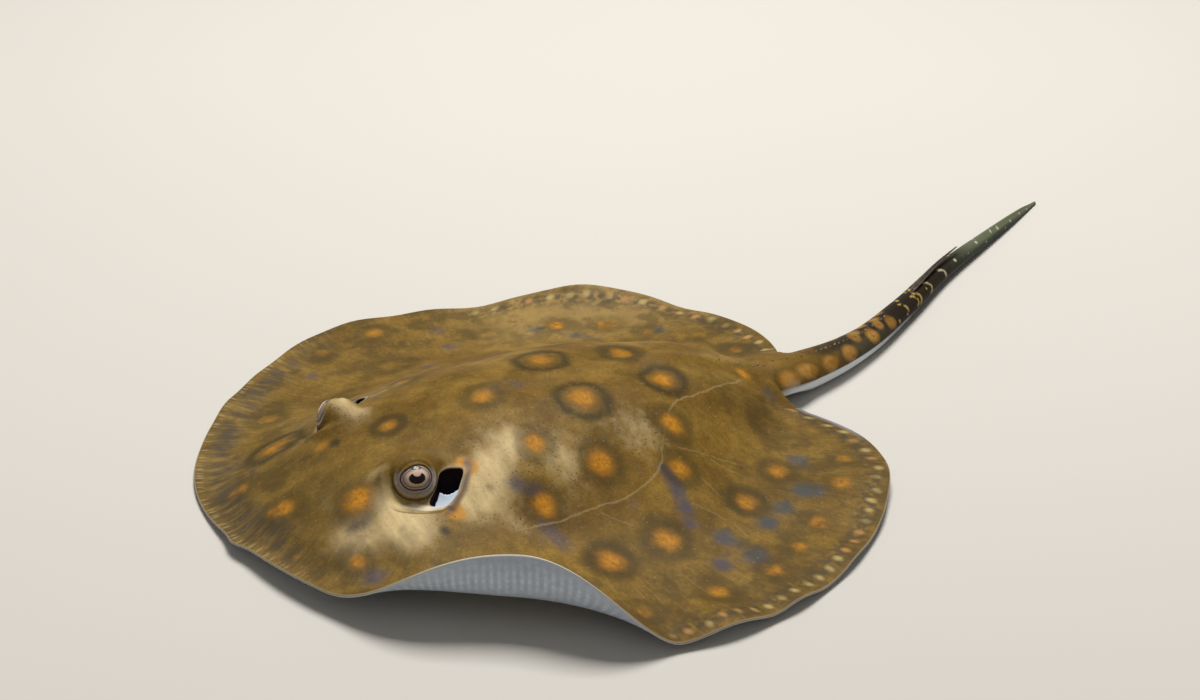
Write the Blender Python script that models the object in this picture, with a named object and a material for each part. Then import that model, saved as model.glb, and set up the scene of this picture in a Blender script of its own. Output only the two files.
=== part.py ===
"""Ocellate freshwater stingray resting on the bottom, as a still life-size model.

The body is described in its own flat coordinates: u across (left positive), v along (tail positive),
or the same place as an angle from the snout and a fraction of the disc's radius. A sheet gives the
belly's shape over the floor, a thickness stands on it, and a gentle bend of the midline poses both.
"""
import bisect
import bpy
import bmesh
import numpy as np
from math import cos, exp, hypot, pi, radians, sin
from mathutils import Matrix, Vector

MM = 0.001
GAP = 0.3 * MM                      # clearance between neighbouring pieces

# Outline of the disc: angle from the snout over the left side (degrees), radius (mm).
OUTLINE = [(0, 97.2), (40, 104), (90, 121.5), (130, 133.2), (146, 136), (158, 135), (165, 128.5), (171, 118.5),
           (177, 108.3), (185, 108), (196, 126.4), (203, 131.7), (212, 133.6), (228, 132), (240, 129.4), (253, 124),
           (262, 125.8), (271, 127.6), (282, 120.5), (296, 112), (312, 105), (335, 100.8)]   # degrees, radius
SNOUT_KNOB = 1.6                    # height of the small point on the snout, mm
SNOUT_KNOB_HALF_ANGLE = 3.2         # degrees
TURN = 15.3 / 220                   # bend of the midline, degrees per mm

# Seams between the pieces of the disc, as angles from the snout in degrees.
SNOUT_SEAM = 14
LEFT_FIN_SEAM, RIGHT_FIN_SEAM = 95, 265
TAIL_SEAMS = (178.5, 193)
# Where the body proper ends and the pectoral fin begins: angle off the midline, fraction of radius.
BODY_EDGE = [(0, 0.80), (14, 0.78), (32, 0.64), (60, 0.47), (90, 0.40), (122, 0.40), (150, 0.54),
             (168, 0.74), (180, 0.84)]
HEAD_END = -22 * MM                 # the head stops here along the body

# Thickness over the belly, mm.
FIN_EDGE, FIN_ROOT = 1.0, 10.0
BACK_HEIGHT = 24.0
BACK_PROFILE = [(-100, 0.02), (-82, 0.30), (-62, 0.66), (-38, 0.88), (5, 1.0), (55, 0.95), (80, 0.72),
                (100, 0.42)]
BACK_HALF_WIDTH = [(-100, 26), (-60, 43), (0, 51), (50, 47), (80, 30), (100, 17)]
SPINE_DRIFT = -9.5 / 110 ** 2      # the spine leaves the disc's midline towards the tail, 1/mm

# The raised margins: centre, half-spans before and after it in degrees, then the edge's tilt or lift.
CURL = dict(at=65.5, before=38, after=26, tilt=108)
CURL_LIFT = dict(at=65.5, before=75, after=32, lift=7.8)
FAR_WAVE = dict(at=235, before=18, after=16, tilt=22)
RIM_TILT = 4.0
CURL_START = 0.74
PELVIC_LIFT = dict(at=185, before=70, after=70, lift=3.4)
SNOUT_LIFT = dict(at=8, before=26, after=32, lift=3.0)
RIPPLES = [(101, 11, 3.4), (114.5, 7, 2.2)]     # along the left rear edge: angle, half-span, height

# Head.
HEAD_TURN, HEAD_PIVOT = radians(4.5), -47.0
EYE = (25.8, 1.0, 23.4)             # out from the midline, behind the pivot, above the floor, mm
EYE_RADIUS, SOCKET_CLEARANCE = 5.5, 0.3
BROW = dict(out=22.0, along=-0.6, height=7.4, inner=7.0, outer=4.6, length=8.2)
SPIRACLE = dict(out=34.2, along=8.7, radii=(6.3, 3.2, 8.0), slant=50, sink=1.0)

# Tail: x, y of its centre line, half width, half height, mm.
TAIL = [(-3.2, 103, 10.4, 7.6), (-3.9, 114.5, 9.8, 7.1), (-6.2, 126, 8.9, 6.6), (-10.0, 140.5, 7.5, 5.9),
        (-17.0, 157.5, 6.3, 5.0), (-34, 187, 5.0, 4.2), (-56, 221, 4.0, 3.6), (-73, 252, 3.0, 2.9),
        (-87, 278, 2.0, 2.0), (-99, 300, 0.7, 0.8)]
TAIL_CUTS = (0.34, 0.66)            # fractions of its length
TAIL_SIDES, TAIL_RINGS = 14, 30
TAIL_FLAT = 0.35                    # how far the round section is pressed flat on the floor, mm
STING = dict(start=0.45, end=0.66, width=2.6, thickness=1.3, rise=2.2)
PELVIC_FIN = dict(out=19.5, along=98.0, length=12.0, width=9.5, splay=24, bottom=0.0, top=2.0)

SKIN_COLOUR = (0.20, 0.13, 0.055, 1)
PALE_COLOUR = (0.40, 0.42, 0.45, 1)
DARK_COLOUR = (0.055, 0.055, 0.045, 1)
EYE_COLOUR = (0.42, 0.30, 0.20, 1)


def smooth_through(points, at, period=None):
    """Cubic curve through (place, value) points; closed when a period is given."""
    x = np.array([p[0] for p in points], float)
    y = np.array([p[1] for p in points], float)
    if period:
        at = (at - x[0]) % period + x[0]
        x = np.concatenate([x[-3:] - period, x, x[:4] + period])
        y = np.concatenate([y[-3:], y, y[:4]])
    slope = np.gradient(y, x)
    i = min(max(bisect.bisect_right(x.tolist(), at) - 1, 0), len(x) - 2)
    span = x[i + 1] - x[i]
    t = min(max((at - x[i]) / span, 0.0), 1.0)
    return ((2 * t ** 3 - 3 * t ** 2 + 1) * y[i] + (t ** 3 - 2 * t ** 2 + t) * span * slope[i]
            + (3 * t ** 2 - 2 * t ** 3) * y[i + 1] + (t ** 3 - t ** 2) * span * slope[i + 1])


def ease(x, low=0.0, high=1.0):
    t = min(max((x - low) / (high - low), 0.0), 1.0)
    return t * t * (3 - 2 * t)


def hill(angle, at, before, after):
    """A smooth rise between two angles, 1 at its middle."""
    away = (angle - at + 180) % 360 - 180
    t = min(abs(away) / (before if away < 0 else after), 1.0)
    return (1 - t * t) ** 2


def radius(angle):
    knob = ((angle + 180) % 360 - 180) / SNOUT_KNOB_HALF_ANGLE
    return smooth_through(OUTLINE, angle, 360) + SNOUT_KNOB * exp(-knob * knob)


def body_edge(angle):
    return smooth_through(BODY_EDGE, abs((angle + 180) % 360 - 180))


def hill_of(part, angle):
    return hill(angle, part["at"], part["before"], part["after"])


def belly(angle, fraction):
    """Distance from the centre, height, and tilt of the belly sheet."""
    tilt = radians(RIM_TILT + CURL["tilt"] * hill_of(CURL, angle)
                   + FAR_WAVE["tilt"] * hill_of(FAR_WAVE, angle))
    rim = radius(angle)
    start = min(fraction, CURL_START) * rim
    run, steps = max(fraction - CURL_START, 0.0) * rim, 12
    out, up, turned = start, 0.0, 0.0
    for k in range(steps if run else 0):
        turned = tilt * ease((k + 0.5) / steps * run / ((1 - CURL_START) * rim))
        out += cos(turned) * run / steps
        up += sin(turned) * run / steps
    up += CURL_LIFT["lift"] * hill_of(CURL_LIFT, angle) * ease(fraction, 0.45, 0.80)
    up += PELVIC_LIFT["lift"] * hill_of(PELVIC_LIFT, angle) * ease(fraction, 0.45, 0.62)
    up += SNOUT_LIFT["lift"] * hill_of(SNOUT_LIFT, angle) * ease(fraction, 0.55, 1.0)
    for at, span, height in RIPPLES:
        up += height * hill(angle, at, span, span) * ease(fraction, 0.80, 1.0)
    return out, up, tilt * ease(fraction, CURL_START, 1.0)


def head_place(out, along):
    """Flat coordinates of a head feature; out is negative on the right."""
    return (out * cos(HEAD_TURN) - along * sin(HEAD_TURN),
            HEAD_PIVOT + along * cos(HEAD_TURN) + out * sin(HEAD_TURN))


def brow(u, v):
    rise = 0.0
    for side in (1, -1):
        at_u, at_v = head_place(side * BROW["out"], BROW["along"])
        across = (u - at_u) * side
        spread = BROW["outer"] if across > 0 else BROW["inner"]
        rise += BROW["height"] * exp(-(across / spread) ** 2 - ((v - at_v) / BROW["length"]) ** 2)
    return rise


def thickness(u, v, fraction):
    fin = FIN_EDGE + FIN_ROOT * (1 - fraction) * ease(v, -135, -50)
    centre = SPINE_DRIFT * v * v if v > 0 else 0.0
    across = abs(u - centre) / smooth_through(BACK_HALF_WIDTH, v)
    back = BACK_HEIGHT * smooth_through(BACK_PROFILE, v) * exp(-across ** 2.8)
    return fin + back + brow(u, v)


def bend(x, y):
    """Carries a flat place round the gentle bend of the midline."""
    turn_radius = 1 / radians(TURN)
    angle = y / turn_radius
    return turn_radius - (turn_radius - x) * cos(angle), (turn_radius - x) * sin(angle)


def disc_point(angle, fraction, side):
    """A point of the belly (side 0) or of the back (side 1), in metres."""
    out, up, tilt = belly(angle, fraction)
    if side:
        flat = fraction * radius(angle)
        rise = thickness(flat * sin(radians(angle)), -flat * cos(radians(angle)), fraction)
        out -= sin(tilt) * rise
        up += cos(tilt) * rise
    x, y = bend(out * sin(radians(angle)), -out * cos(radians(angle)))
    return Vector((x, y, up)) * MM


def columns():
    """Angles of the lattice's spokes; every seam is one of them."""
    seams = [-SNOUT_SEAM, SNOUT_SEAM, LEFT_FIN_SEAM, *TAIL_SEAMS, RIGHT_FIN_SEAM]
    counts = [8, 21, 19, 4, 17, 20]
    angles = []
    for start, end, count in zip(seams, seams[1:] + [360 - SNOUT_SEAM], counts):
        angles += [start + (end - start) * k / count for k in range(count)]
    return angles


BODY_RINGS, FIN_RINGS = 11, 9
ANGLES = columns()


def ring_fraction(angle, ring):
    edge = body_edge(angle)
    if ring <= BODY_RINGS:
        return edge * ring / BODY_RINGS
    t = (ring - BODY_RINGS) / FIN_RINGS
    return edge + (1 - edge) * t


def material(name, colour, roughness):
    made = bpy.data.materials.new(name)
    made.use_nodes = True
    shader = made.node_tree.nodes["Principled BSDF"]
    shader.inputs["Base Color"].default_value = colour
    shader.inputs["Roughness"].default_value = roughness
    shader.inputs["Metallic"].default_value = 0.0
    return made


def add_object(name, bm, colour, roughness=0.45):
    bmesh.ops.recalc_face_normals(bm, faces=bm.faces)
    mesh = bpy.data.meshes.new(name)
    bm.to_mesh(mesh)
    bm.free()
    mesh.shade_smooth()
    mesh.set_sharp_from_angle(angle=radians(50))
    made = bpy.data.objects.new(name, mesh)
    mesh.materials.append(material(name, colour, roughness))
    bpy.context.scene.collection.objects.link(made)
    return made


def panel(wanted):
    """A closed slab of the disc over the lattice cells that wanted(spoke, ring) accepts."""
    spokes = len(ANGLES)
    cells = {(i, j) for i in range(spokes) for j in range(BODY_RINGS + FIN_RINGS) if wanted(i, j)}

    def around(i, j):
        if j == 0:
            return [(k, 0) for k in range(spokes)]
        return [((i - a) % spokes, j - b) for a in (0, 1) for b in (0, 1)
                if j - b < BODY_RINGS + FIN_RINGS]

    def flat(angle, fraction):
        away = fraction * radius(angle)
        return away * sin(radians(angle)), -away * cos(radians(angle))

    def middle(cell):
        angle = ANGLES[cell[0]] + 0.5 * ((ANGLES[(cell[0] + 1) % spokes] - ANGLES[cell[0]]) % 360)
        return flat(angle, ring_fraction(angle, cell[1] + 0.5))

    def inset_place(i, j):
        """The lattice point, drawn back from a seam by half the clearance."""
        angle, fraction = ANGLES[i], ring_fraction(ANGLES[i], j)
        mine = [cell for cell in around(i, j) if cell in cells]
        at_rim = j == BODY_RINGS + FIN_RINGS
        if len(mine) == (2 if at_rim else spokes if j == 0 else 4):
            return angle, fraction
        u, v = flat(angle, fraction)
        inner = [middle(cell) for cell in mine]
        du = sum(p[0] for p in inner) / len(inner) - u
        dv = sum(p[1] for p in inner) / len(inner) - v
        step = 0.75 * GAP / MM / hypot(du, dv)
        u, v = u + du * step, v + dv * step
        angle = np.degrees(np.arctan2(u, -v))
        return angle, 1.0 if at_rim else hypot(u, v) / radius(angle)

    bm = bmesh.new()
    made = {}

    def vertex(i, j, side):
        key = (0 if j == 0 else i % spokes, j, side)
        if key not in made:
            made[key] = bm.verts.new(disc_point(*inset_place(key[0], j), side))
        return made[key]

    for i, j in sorted(cells):
        corners = [(i, j), (i + 1, j), (i + 1, j + 1), (i, j + 1)]
        for side in (0, 1):
            ring = [vertex(a, b, side) for a, b in corners]
            bm.faces.new(list(dict.fromkeys(ring)))
        walls = (((i, j), (i + 1, j), (i, j - 1)), ((i + 1, j), (i + 1, j + 1), ((i + 1) % spokes, j)),
                 ((i + 1, j + 1), (i, j + 1), (i, j + 1)), ((i, j + 1), (i, j), ((i - 1) % spokes, j)))
        for start, end, beyond in walls:
            if beyond in cells or beyond[1] < 0:
                continue
            bm.faces.new([vertex(*start, 0), vertex(*end, 0), vertex(*end, 1), vertex(*start, 1)])
    return bm


def spoke_is_between(i, start, end):
    angle = (ANGLES[i] + 0.01) % 360
    return start % 360 <= angle < end % 360 if start % 360 < end % 360 else (angle >= start % 360
                                                                            or angle < end % 360)


def fin(start, end):
    return panel(lambda i, j: j >= BODY_RINGS and spoke_is_between(i, start, end))


def body_cells(i, j):
    if j < BODY_RINGS:
        return True
    return spoke_is_between(i, -SNOUT_SEAM, SNOUT_SEAM) or spoke_is_between(i, *TAIL_SEAMS)


def cut_off(bm, place, outward):
    """Takes away what lies beyond a plane, half the clearance short of it, and closes the end."""
    cut = bmesh.ops.bisect_plane(bm, geom=bm.verts[:] + bm.edges[:] + bm.faces[:], dist=1e-7,
                                 plane_co=place - outward * 0.5 * GAP, plane_no=outward, clear_outer=True)
    rim = [e for e in cut["geom_cut"] if isinstance(e, bmesh.types.BMEdge)]
    bmesh.ops.edgeloop_fill(bm, edges=rim)


def head_body():
    bm = panel(body_cells)
    cut_off(bm, Vector((0, HEAD_END, 0)), Vector((0, 1, 0)))
    return bm


def trunk_body():
    bm = panel(body_cells)
    cut_off(bm, Vector((0, HEAD_END, 0)), Vector((0, -1, 0)))
    root, across, _, _ = tail_section(0)
    cut_off(bm, root * MM, across.cross(Vector((0, 0, -1))))
    return bm


def surface_point(u, v):
    angle = np.degrees(np.arctan2(u, -v))
    return disc_point(angle, hypot(u, v) / radius(angle), 1)


def eye_centre(side):
    u, v = head_place(side * EYE[0], EYE[1])
    x, y = bend(u, v)
    return Vector((x, y, EYE[2])) * MM


def ball(name, centre, radii, turn, segments, rings, colour=EYE_COLOUR):
    bm = bmesh.new()
    place = Matrix.Translation(centre) @ Matrix.Rotation(turn, 4, "Z") @ Matrix.Diagonal((*radii, 1))
    bmesh.ops.create_uvsphere(bm, u_segments=segments, v_segments=rings, radius=1, matrix=place)
    return add_object(name, bm, colour, 0.1)


def cut_with(piece, cutter):
    cutter.hide_render = True
    cutter.display_type = "WIRE"
    hole = piece.modifiers.new(cutter.name, "BOOLEAN")
    hole.object = cutter
    hole.operation = "DIFFERENCE"
    hole.solver = "EXACT"


def eyes_and_spiracles(head):
    for side, word in ((1, "left"), (-1, "right")):
        centre = eye_centre(side)
        ball("eye_" + word, centre, [EYE_RADIUS * MM] * 3, 0, 16, 10)
        socket = ball("socket_" + word, centre, [(EYE_RADIUS + SOCKET_CLEARANCE) * MM] * 3, 0, 16, 10)
        cut_with(head, socket)
        u, v = head_place(side * SPIRACLE["out"], SPIRACLE["along"])
        mouth = surface_point(u, v) - Vector((0, 0, SPIRACLE["sink"] * MM))
        pocket = ball("spiracle_" + word, mouth, [r * MM for r in SPIRACLE["radii"]],
                      HEAD_TURN - radians(HEAD_PIVOT * TURN + side * SPIRACLE["slant"]), 16, 10)
        cut_with(head, pocket)


def tail_section(t):
    """Centre, direction across, half width and half height of the tail at a fraction of its length."""
    places = [hypot(b[0] - a[0], b[1] - a[1]) for a, b in zip(TAIL, TAIL[1:])]
    along = [sum(places[:k]) for k in range(len(TAIL))]
    curves = [[(s, p[k]) for s, p in zip(along, TAIL)] for k in range(4)]

    def at(value):
        return [smooth_through(curve, value * along[-1]) for curve in curves]

    x, y, half_width, half_height = at(t)
    ahead, behind = at(min(t + 0.01, 1)), at(max(t - 0.01, 0))
    heading = Vector((ahead[0] - behind[0], ahead[1] - behind[1], 0)).normalized()
    centre = Vector((x, y, half_height - TAIL_FLAT))
    return centre, Vector((heading.y, -heading.x, 0)), half_width, half_height


def tail_piece(start, end):
    bm = bmesh.new()
    rings = max(3, round((end - start) * TAIL_RINGS))
    loops = []
    for k in range(rings + 1):
        centre, across, half_width, half_height = tail_section(start + (end - start) * k / rings)
        loop = []
        for s in range(TAIL_SIDES):
            a = 2 * pi * (s + 0.5) / TAIL_SIDES
            point = centre + across * half_width * cos(a) + Vector((0, 0, half_height * sin(a)))
            point.z = max(point.z, 0.0)
            loop.append(bm.verts.new(point * MM))
        loops.append(loop)
    for a, b in zip(loops, loops[1:]):
        for s in range(TAIL_SIDES):
            n = (s + 1) % TAIL_SIDES
            bm.faces.new((a[s], a[n], b[n], b[s]))
    bm.faces.new(loops[0])
    bm.faces.new(loops[-1])
    return bm


def tail():
    length = sum(hypot(b[0] - a[0], b[1] - a[1]) for a, b in zip(TAIL, TAIL[1:]))
    half_gap = 0.5 * GAP / MM / length
    ends = (0, *TAIL_CUTS, 1)
    colours = (SKIN_COLOUR, DARK_COLOUR, DARK_COLOUR)
    for name, start, end, colour in zip(("tail_base", "tail_middle", "tail_tip"), ends, ends[1:], colours):
        finish = end - half_gap if end < 1 else 1
        add_object(name, tail_piece(start + half_gap, finish), colour)


def sting():
    bm = bmesh.new()
    loops, rings = [], 8
    for k in range(rings + 1):
        t = k / rings
        centre, across, half_width, half_height = tail_section(
            STING["start"] + (STING["end"] - STING["start"]) * t)
        low = 2 * half_height - TAIL_FLAT + GAP / MM + STING["rise"] * t
        half = 0.5 * STING["width"] * (1 - 0.85 * t ** 2)
        thick = STING["thickness"] * (1 - 0.5 * t)
        corners = ((-half, 0.3), (0, 0), (half, 0.3), (half * 0.5, 1), (-half * 0.5, 1))
        base = Vector((centre.x, centre.y, low))
        loops.append([bm.verts.new((base + across * a + Vector((0, 0, b * thick))) * MM) for a, b in corners])
    for a, b in zip(loops, loops[1:]):
        for s in range(len(a)):
            n = (s + 1) % len(a)
            bm.faces.new((a[s], a[n], b[n], b[s]))
    bm.faces.new(loops[0])
    bm.faces.new(loops[-1])
    add_object("sting", bm, DARK_COLOUR, 0.3)


def pelvic_fin(name, side):
    """A small paddle flat on the floor under the disc's rear edge, beside the tail."""
    spine = SPINE_DRIFT * PELVIC_FIN["along"] ** 2
    splay = side * radians(PELVIC_FIN["splay"])
    bm = bmesh.new()
    loops = []
    for height, inset in ((PELVIC_FIN["bottom"], 1.0), (PELVIC_FIN["top"] * 0.5, 1.04),
                          (PELVIC_FIN["top"], 0.93)):
        loop = []
        for k in range(20):
            a = 2 * pi * k / 20
            across = PELVIC_FIN["width"] * (1 + 0.18 * sin(a)) * cos(a) * inset
            along = PELVIC_FIN["length"] * sin(a) * inset
            u = spine + side * PELVIC_FIN["out"] + across * cos(splay) + along * sin(splay)
            v = PELVIC_FIN["along"] - across * sin(splay) + along * cos(splay)
            loop.append(bm.verts.new(Vector((*bend(u, v), height)) * MM))
        loops.append(loop)
    for a, b in zip(loops, loops[1:]):
        for s in range(len(a)):
            n = (s + 1) % len(a)
            bm.faces.new((a[s], a[n], b[n], b[s]))
    bm.faces.new(loops[0])
    bm.faces.new(loops[-1])
    add_object(name, bm, PALE_COLOUR)


for old in list(bpy.data.objects):
    bpy.data.objects.remove(old, do_unlink=True)
head_object = add_object("head", head_body(), SKIN_COLOUR)
add_object("trunk", trunk_body(), SKIN_COLOUR)
add_object("pectoral_fin_left_front", fin(SNOUT_SEAM, LEFT_FIN_SEAM), SKIN_COLOUR)
add_object("pectoral_fin_left_rear", fin(LEFT_FIN_SEAM, TAIL_SEAMS[0]), SKIN_COLOUR)
add_object("pectoral_fin_right_rear", fin(TAIL_SEAMS[1], RIGHT_FIN_SEAM), SKIN_COLOUR)
add_object("pectoral_fin_right_front", fin(RIGHT_FIN_SEAM, 360 - SNOUT_SEAM), SKIN_COLOUR)
eyes_and_spiracles(head_object)
tail()
sting()
pelvic_fin("pelvic_fin_left", 1)
pelvic_fin("pelvic_fin_right", -1)
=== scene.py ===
"""Ocellate freshwater stingray, a life-size display model resting on the floor: the finished surfaces."""

from math import cos, pi, radians, sin

import bmesh
import bpy
import numpy as np
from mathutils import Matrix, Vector


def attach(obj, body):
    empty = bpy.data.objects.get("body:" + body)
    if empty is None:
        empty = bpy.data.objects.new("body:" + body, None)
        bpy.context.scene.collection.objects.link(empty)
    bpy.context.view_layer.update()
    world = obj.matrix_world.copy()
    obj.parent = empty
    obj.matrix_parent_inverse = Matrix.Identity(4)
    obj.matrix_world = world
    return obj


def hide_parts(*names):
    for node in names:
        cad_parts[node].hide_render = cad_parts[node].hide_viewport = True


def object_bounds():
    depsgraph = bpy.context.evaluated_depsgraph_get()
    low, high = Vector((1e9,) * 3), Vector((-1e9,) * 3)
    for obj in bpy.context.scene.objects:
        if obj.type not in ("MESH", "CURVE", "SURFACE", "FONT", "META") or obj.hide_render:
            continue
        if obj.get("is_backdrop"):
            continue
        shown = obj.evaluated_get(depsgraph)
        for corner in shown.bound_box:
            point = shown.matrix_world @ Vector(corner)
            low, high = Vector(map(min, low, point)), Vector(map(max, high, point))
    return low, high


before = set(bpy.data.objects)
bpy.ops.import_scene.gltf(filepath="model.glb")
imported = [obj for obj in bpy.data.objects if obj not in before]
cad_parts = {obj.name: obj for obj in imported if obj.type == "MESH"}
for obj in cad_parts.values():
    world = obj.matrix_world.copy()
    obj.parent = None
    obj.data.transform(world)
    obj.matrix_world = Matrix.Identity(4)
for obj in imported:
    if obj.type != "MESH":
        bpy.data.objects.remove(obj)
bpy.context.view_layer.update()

# ---- Camera ------------------------------------------------------------------------------------
# Looks down on the ray from ahead of its left side, from as high as a person crouching by a low
# plinth, with a moderately long lens.
LOOK_AT = Vector((-0.0655, 0.0733, 0.0))
CAMERA_DISTANCE = 0.9
CAMERA_AZIMUTH, CAMERA_HEIGHT = radians(62.1), radians(27.2)


def placed(name, data):
    """Puts a new object with this mesh, light or camera into the scene."""
    made = bpy.data.objects.new(name, data)
    bpy.context.scene.collection.objects.link(made)
    return made


camera = placed("camera", bpy.data.cameras.new("camera"))
camera.data.lens = 72
camera.data.sensor_width = 36
towards_camera = Vector((sin(CAMERA_AZIMUTH) * cos(CAMERA_HEIGHT),
                         -cos(CAMERA_AZIMUTH) * cos(CAMERA_HEIGHT), sin(CAMERA_HEIGHT)))
camera.location = LOOK_AT + CAMERA_DISTANCE * towards_camera
camera.rotation_euler = (-towards_camera).to_track_quat("-Z", "Y").to_euler()
bpy.context.scene.camera = camera

# ---- Skin: the form ----------------------------------------------------------------------------
# One skin over disc, tail and pelvic fins, cast whole in flexible resin from a sculpted master.
# It is laid out flat (u across, v along, in mm, left and tail positive), then a belly sheet, a
# thickness and a gentle bend of the midline carry every flat place to where it lies.
MM = 0.001
# degrees, radius
OUTLINE = [
    (0, 97.2), (40, 104), (90, 121.5), (130, 133.2), (146, 136), (158, 135), (165, 128.5),
    (171, 118.5), (177, 108.3), (185, 108), (196, 126.4), (203, 131.7), (212, 133.6), (228, 132),
    (240, 129.4), (253, 124), (262, 125.8), (271, 127.6), (282, 120.5), (296, 112), (312, 105),
    (335, 100.8)]
SNOUT_KNOB, SNOUT_KNOB_HALF_ANGLE = 1.6, 3.2
TURN = radians(15.3 / 220)                   # bend of the midline for each mm
TAIL_SECTOR = (178.5, 193.0)                 # the part of the rim that runs on into the tail, degrees
FIN_EDGE, FIN_ROOT, BACK_HEIGHT = 1.0, 10.0, 24.0
BACK_PROFILE = [
    (-100, 0.02), (-82, 0.30), (-62, 0.66), (-38, 0.88), (5, 1.0), (55, 0.95), (80, 0.72), (100, 0.42)]
BACK_HALF_WIDTH = [(-100, 26), (-60, 43), (0, 51), (50, 47), (80, 30), (100, 17)]
SPINE_DRIFT = -9.5 / 110 ** 2
CURL = dict(at=65.5, before=38, after=26, tilt=108)
CURL_LIFT = dict(at=65.5, before=75, after=32, lift=7.8)
FAR_WAVE = dict(at=235, before=18, after=16, tilt=22)
RIM_TILT, CURL_START = 4.0, 0.74
PELVIC_LIFT = dict(at=185, before=70, after=70, lift=3.4)
SNOUT_LIFT = dict(at=8, before=26, after=32, lift=3.0)
RIPPLES = [(101, 11, 3.4), (114.5, 7, 2.2)]     # along the left rear edge: angle, half-span, height
# x, y, half width, half height
TAIL_LINE = [
    (-3.2, 103, 10.4, 7.6), (-3.9, 114.5, 9.8, 7.1), (-6.2, 126, 8.9, 6.6), (-10.0, 140.5, 7.5, 5.9),
    (-17.0, 157.5, 6.3, 5.0), (-34, 187, 5.0, 4.2), (-56, 221, 4.0, 3.6), (-73, 252, 3.0, 2.9),
    (-87, 278, 2.0, 2.0), (-99, 300, 0.7, 0.8)]
TAIL_FLAT = 0.35


def smooth_through(points, at, period=None):
    """Cubic curve through (place, value) points; closed when a period is given."""
    x, y = np.array(points, float).T
    at = np.asarray(at, float)
    if period:
        at = (at - x[0]) % period + x[0]
        x = np.concatenate([x[-3:] - period, x, x[:4] + period])
        y = np.concatenate([y[-3:], y, y[:4]])
    slope = np.gradient(y, x)
    i = np.clip(np.searchsorted(x, at, side="right") - 1, 0, len(x) - 2)
    span = x[i + 1] - x[i]
    t = np.clip((at - x[i]) / span, 0, 1)
    return ((2 * t ** 3 - 3 * t ** 2 + 1) * y[i] + (t ** 3 - 2 * t ** 2 + t) * span * slope[i]
            + (3 * t ** 2 - 2 * t ** 3) * y[i + 1] + (t ** 3 - t ** 2) * span * slope[i + 1])


def ease(x, low=0.0, high=1.0):
    t = np.clip((x - low) / (high - low), 0.0, 1.0)
    return t * t * (3 - 2 * t)


def hill(angle, part):
    """A smooth rise between two angles, 1 at its middle."""
    away = (angle - part["at"] + 180) % 360 - 180
    t = np.minimum(np.abs(away) / np.where(away < 0, part["before"], part["after"]), 1.0)
    return (1 - t * t) ** 2


def radius(angle):
    knob = ((angle + 180) % 360 - 180) / SNOUT_KNOB_HALF_ANGLE
    return smooth_through(OUTLINE, angle, 360) + SNOUT_KNOB * np.exp(-knob * knob)


def belly_sheet(angle, fraction):
    """Distance from the centre, height and tilt of the sheet that the belly follows."""
    tilt = np.radians(RIM_TILT + CURL["tilt"] * hill(angle, CURL) + FAR_WAVE["tilt"] * hill(angle, FAR_WAVE))
    rim = radius(angle)
    out = np.minimum(fraction, CURL_START) * rim
    run, steps = np.maximum(fraction - CURL_START, 0.0) * rim, 12
    up = np.zeros_like(out)
    for k in range(steps):
        turned = tilt * ease((k + 0.5) / steps * run / ((1 - CURL_START) * rim))
        out = out + np.cos(turned) * run / steps
        up = up + np.sin(turned) * run / steps
    up = up + CURL_LIFT["lift"] * hill(angle, CURL_LIFT) * ease(fraction, 0.45, 0.80)
    up = up + PELVIC_LIFT["lift"] * hill(angle, PELVIC_LIFT) * ease(fraction, 0.45, 0.62)
    up = up + SNOUT_LIFT["lift"] * hill(angle, SNOUT_LIFT) * ease(fraction, 0.55, 1.0)
    for at, span, height in RIPPLES:
        up = up + height * hill(angle, dict(at=at, before=span, after=span)) * ease(fraction, 0.80, 1.0)
    return out, up, tilt * ease(fraction, CURL_START, 1.0)


def bend(x, y):
    """Carries a flat place round the gentle bend of the midline."""
    return 1 / TURN - (1 / TURN - x) * np.cos(y * TURN), (1 / TURN - x) * np.sin(y * TURN)


def spine(v):
    """How far the spine lies off the disc's midline."""
    return np.where(v > 0, SPINE_DRIFT * v * v, 0.0)


def gauss(distance, spread):
    return np.exp(-(distance / spread) ** 2)


# ---- Skin: the head ----------------------------------------------------------------------------
# The eyes stand up in round fleshy bulbs with two soft folds for lids, and close behind each a
# slanting spiracle drops into the gill chamber. The head is turned a little to its left.
HEAD_TURN, HEAD_PIVOT = radians(4.5), -47.0
EYE_OUT, EYE_ALONG, EYE_UP, EYE_RADIUS = 25.8, 1.0, 23.4, 5.5
GAZE_ASIDE, GAZE_UP = radians(67), radians(36)      # from straight ahead, and above level
BROW = dict(out=22.0, along=-0.6, height=7.0, inner=7.0, outer=4.6, length=8.2)
# Round the gaze from the tail's side over the top: half the opening, then where the bulb ends, degrees.
LID_OPENING = [(0, 66), (45, 53), (90, 41), (135, 42), (180, 62), (225, 53), (270, 45), (315, 55)]
BULB_END = [(0, 94), (45, 84), (90, 78), (135, 82), (180, 94), (225, 84), (270, 74), (315, 84)]
# distance in mm, lid mark
LID_STEPS = [
    (0, 0), (1.4, 44), (1.8, 50), (7.2, 100), (8.5, 112), (12, 180)]
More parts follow.
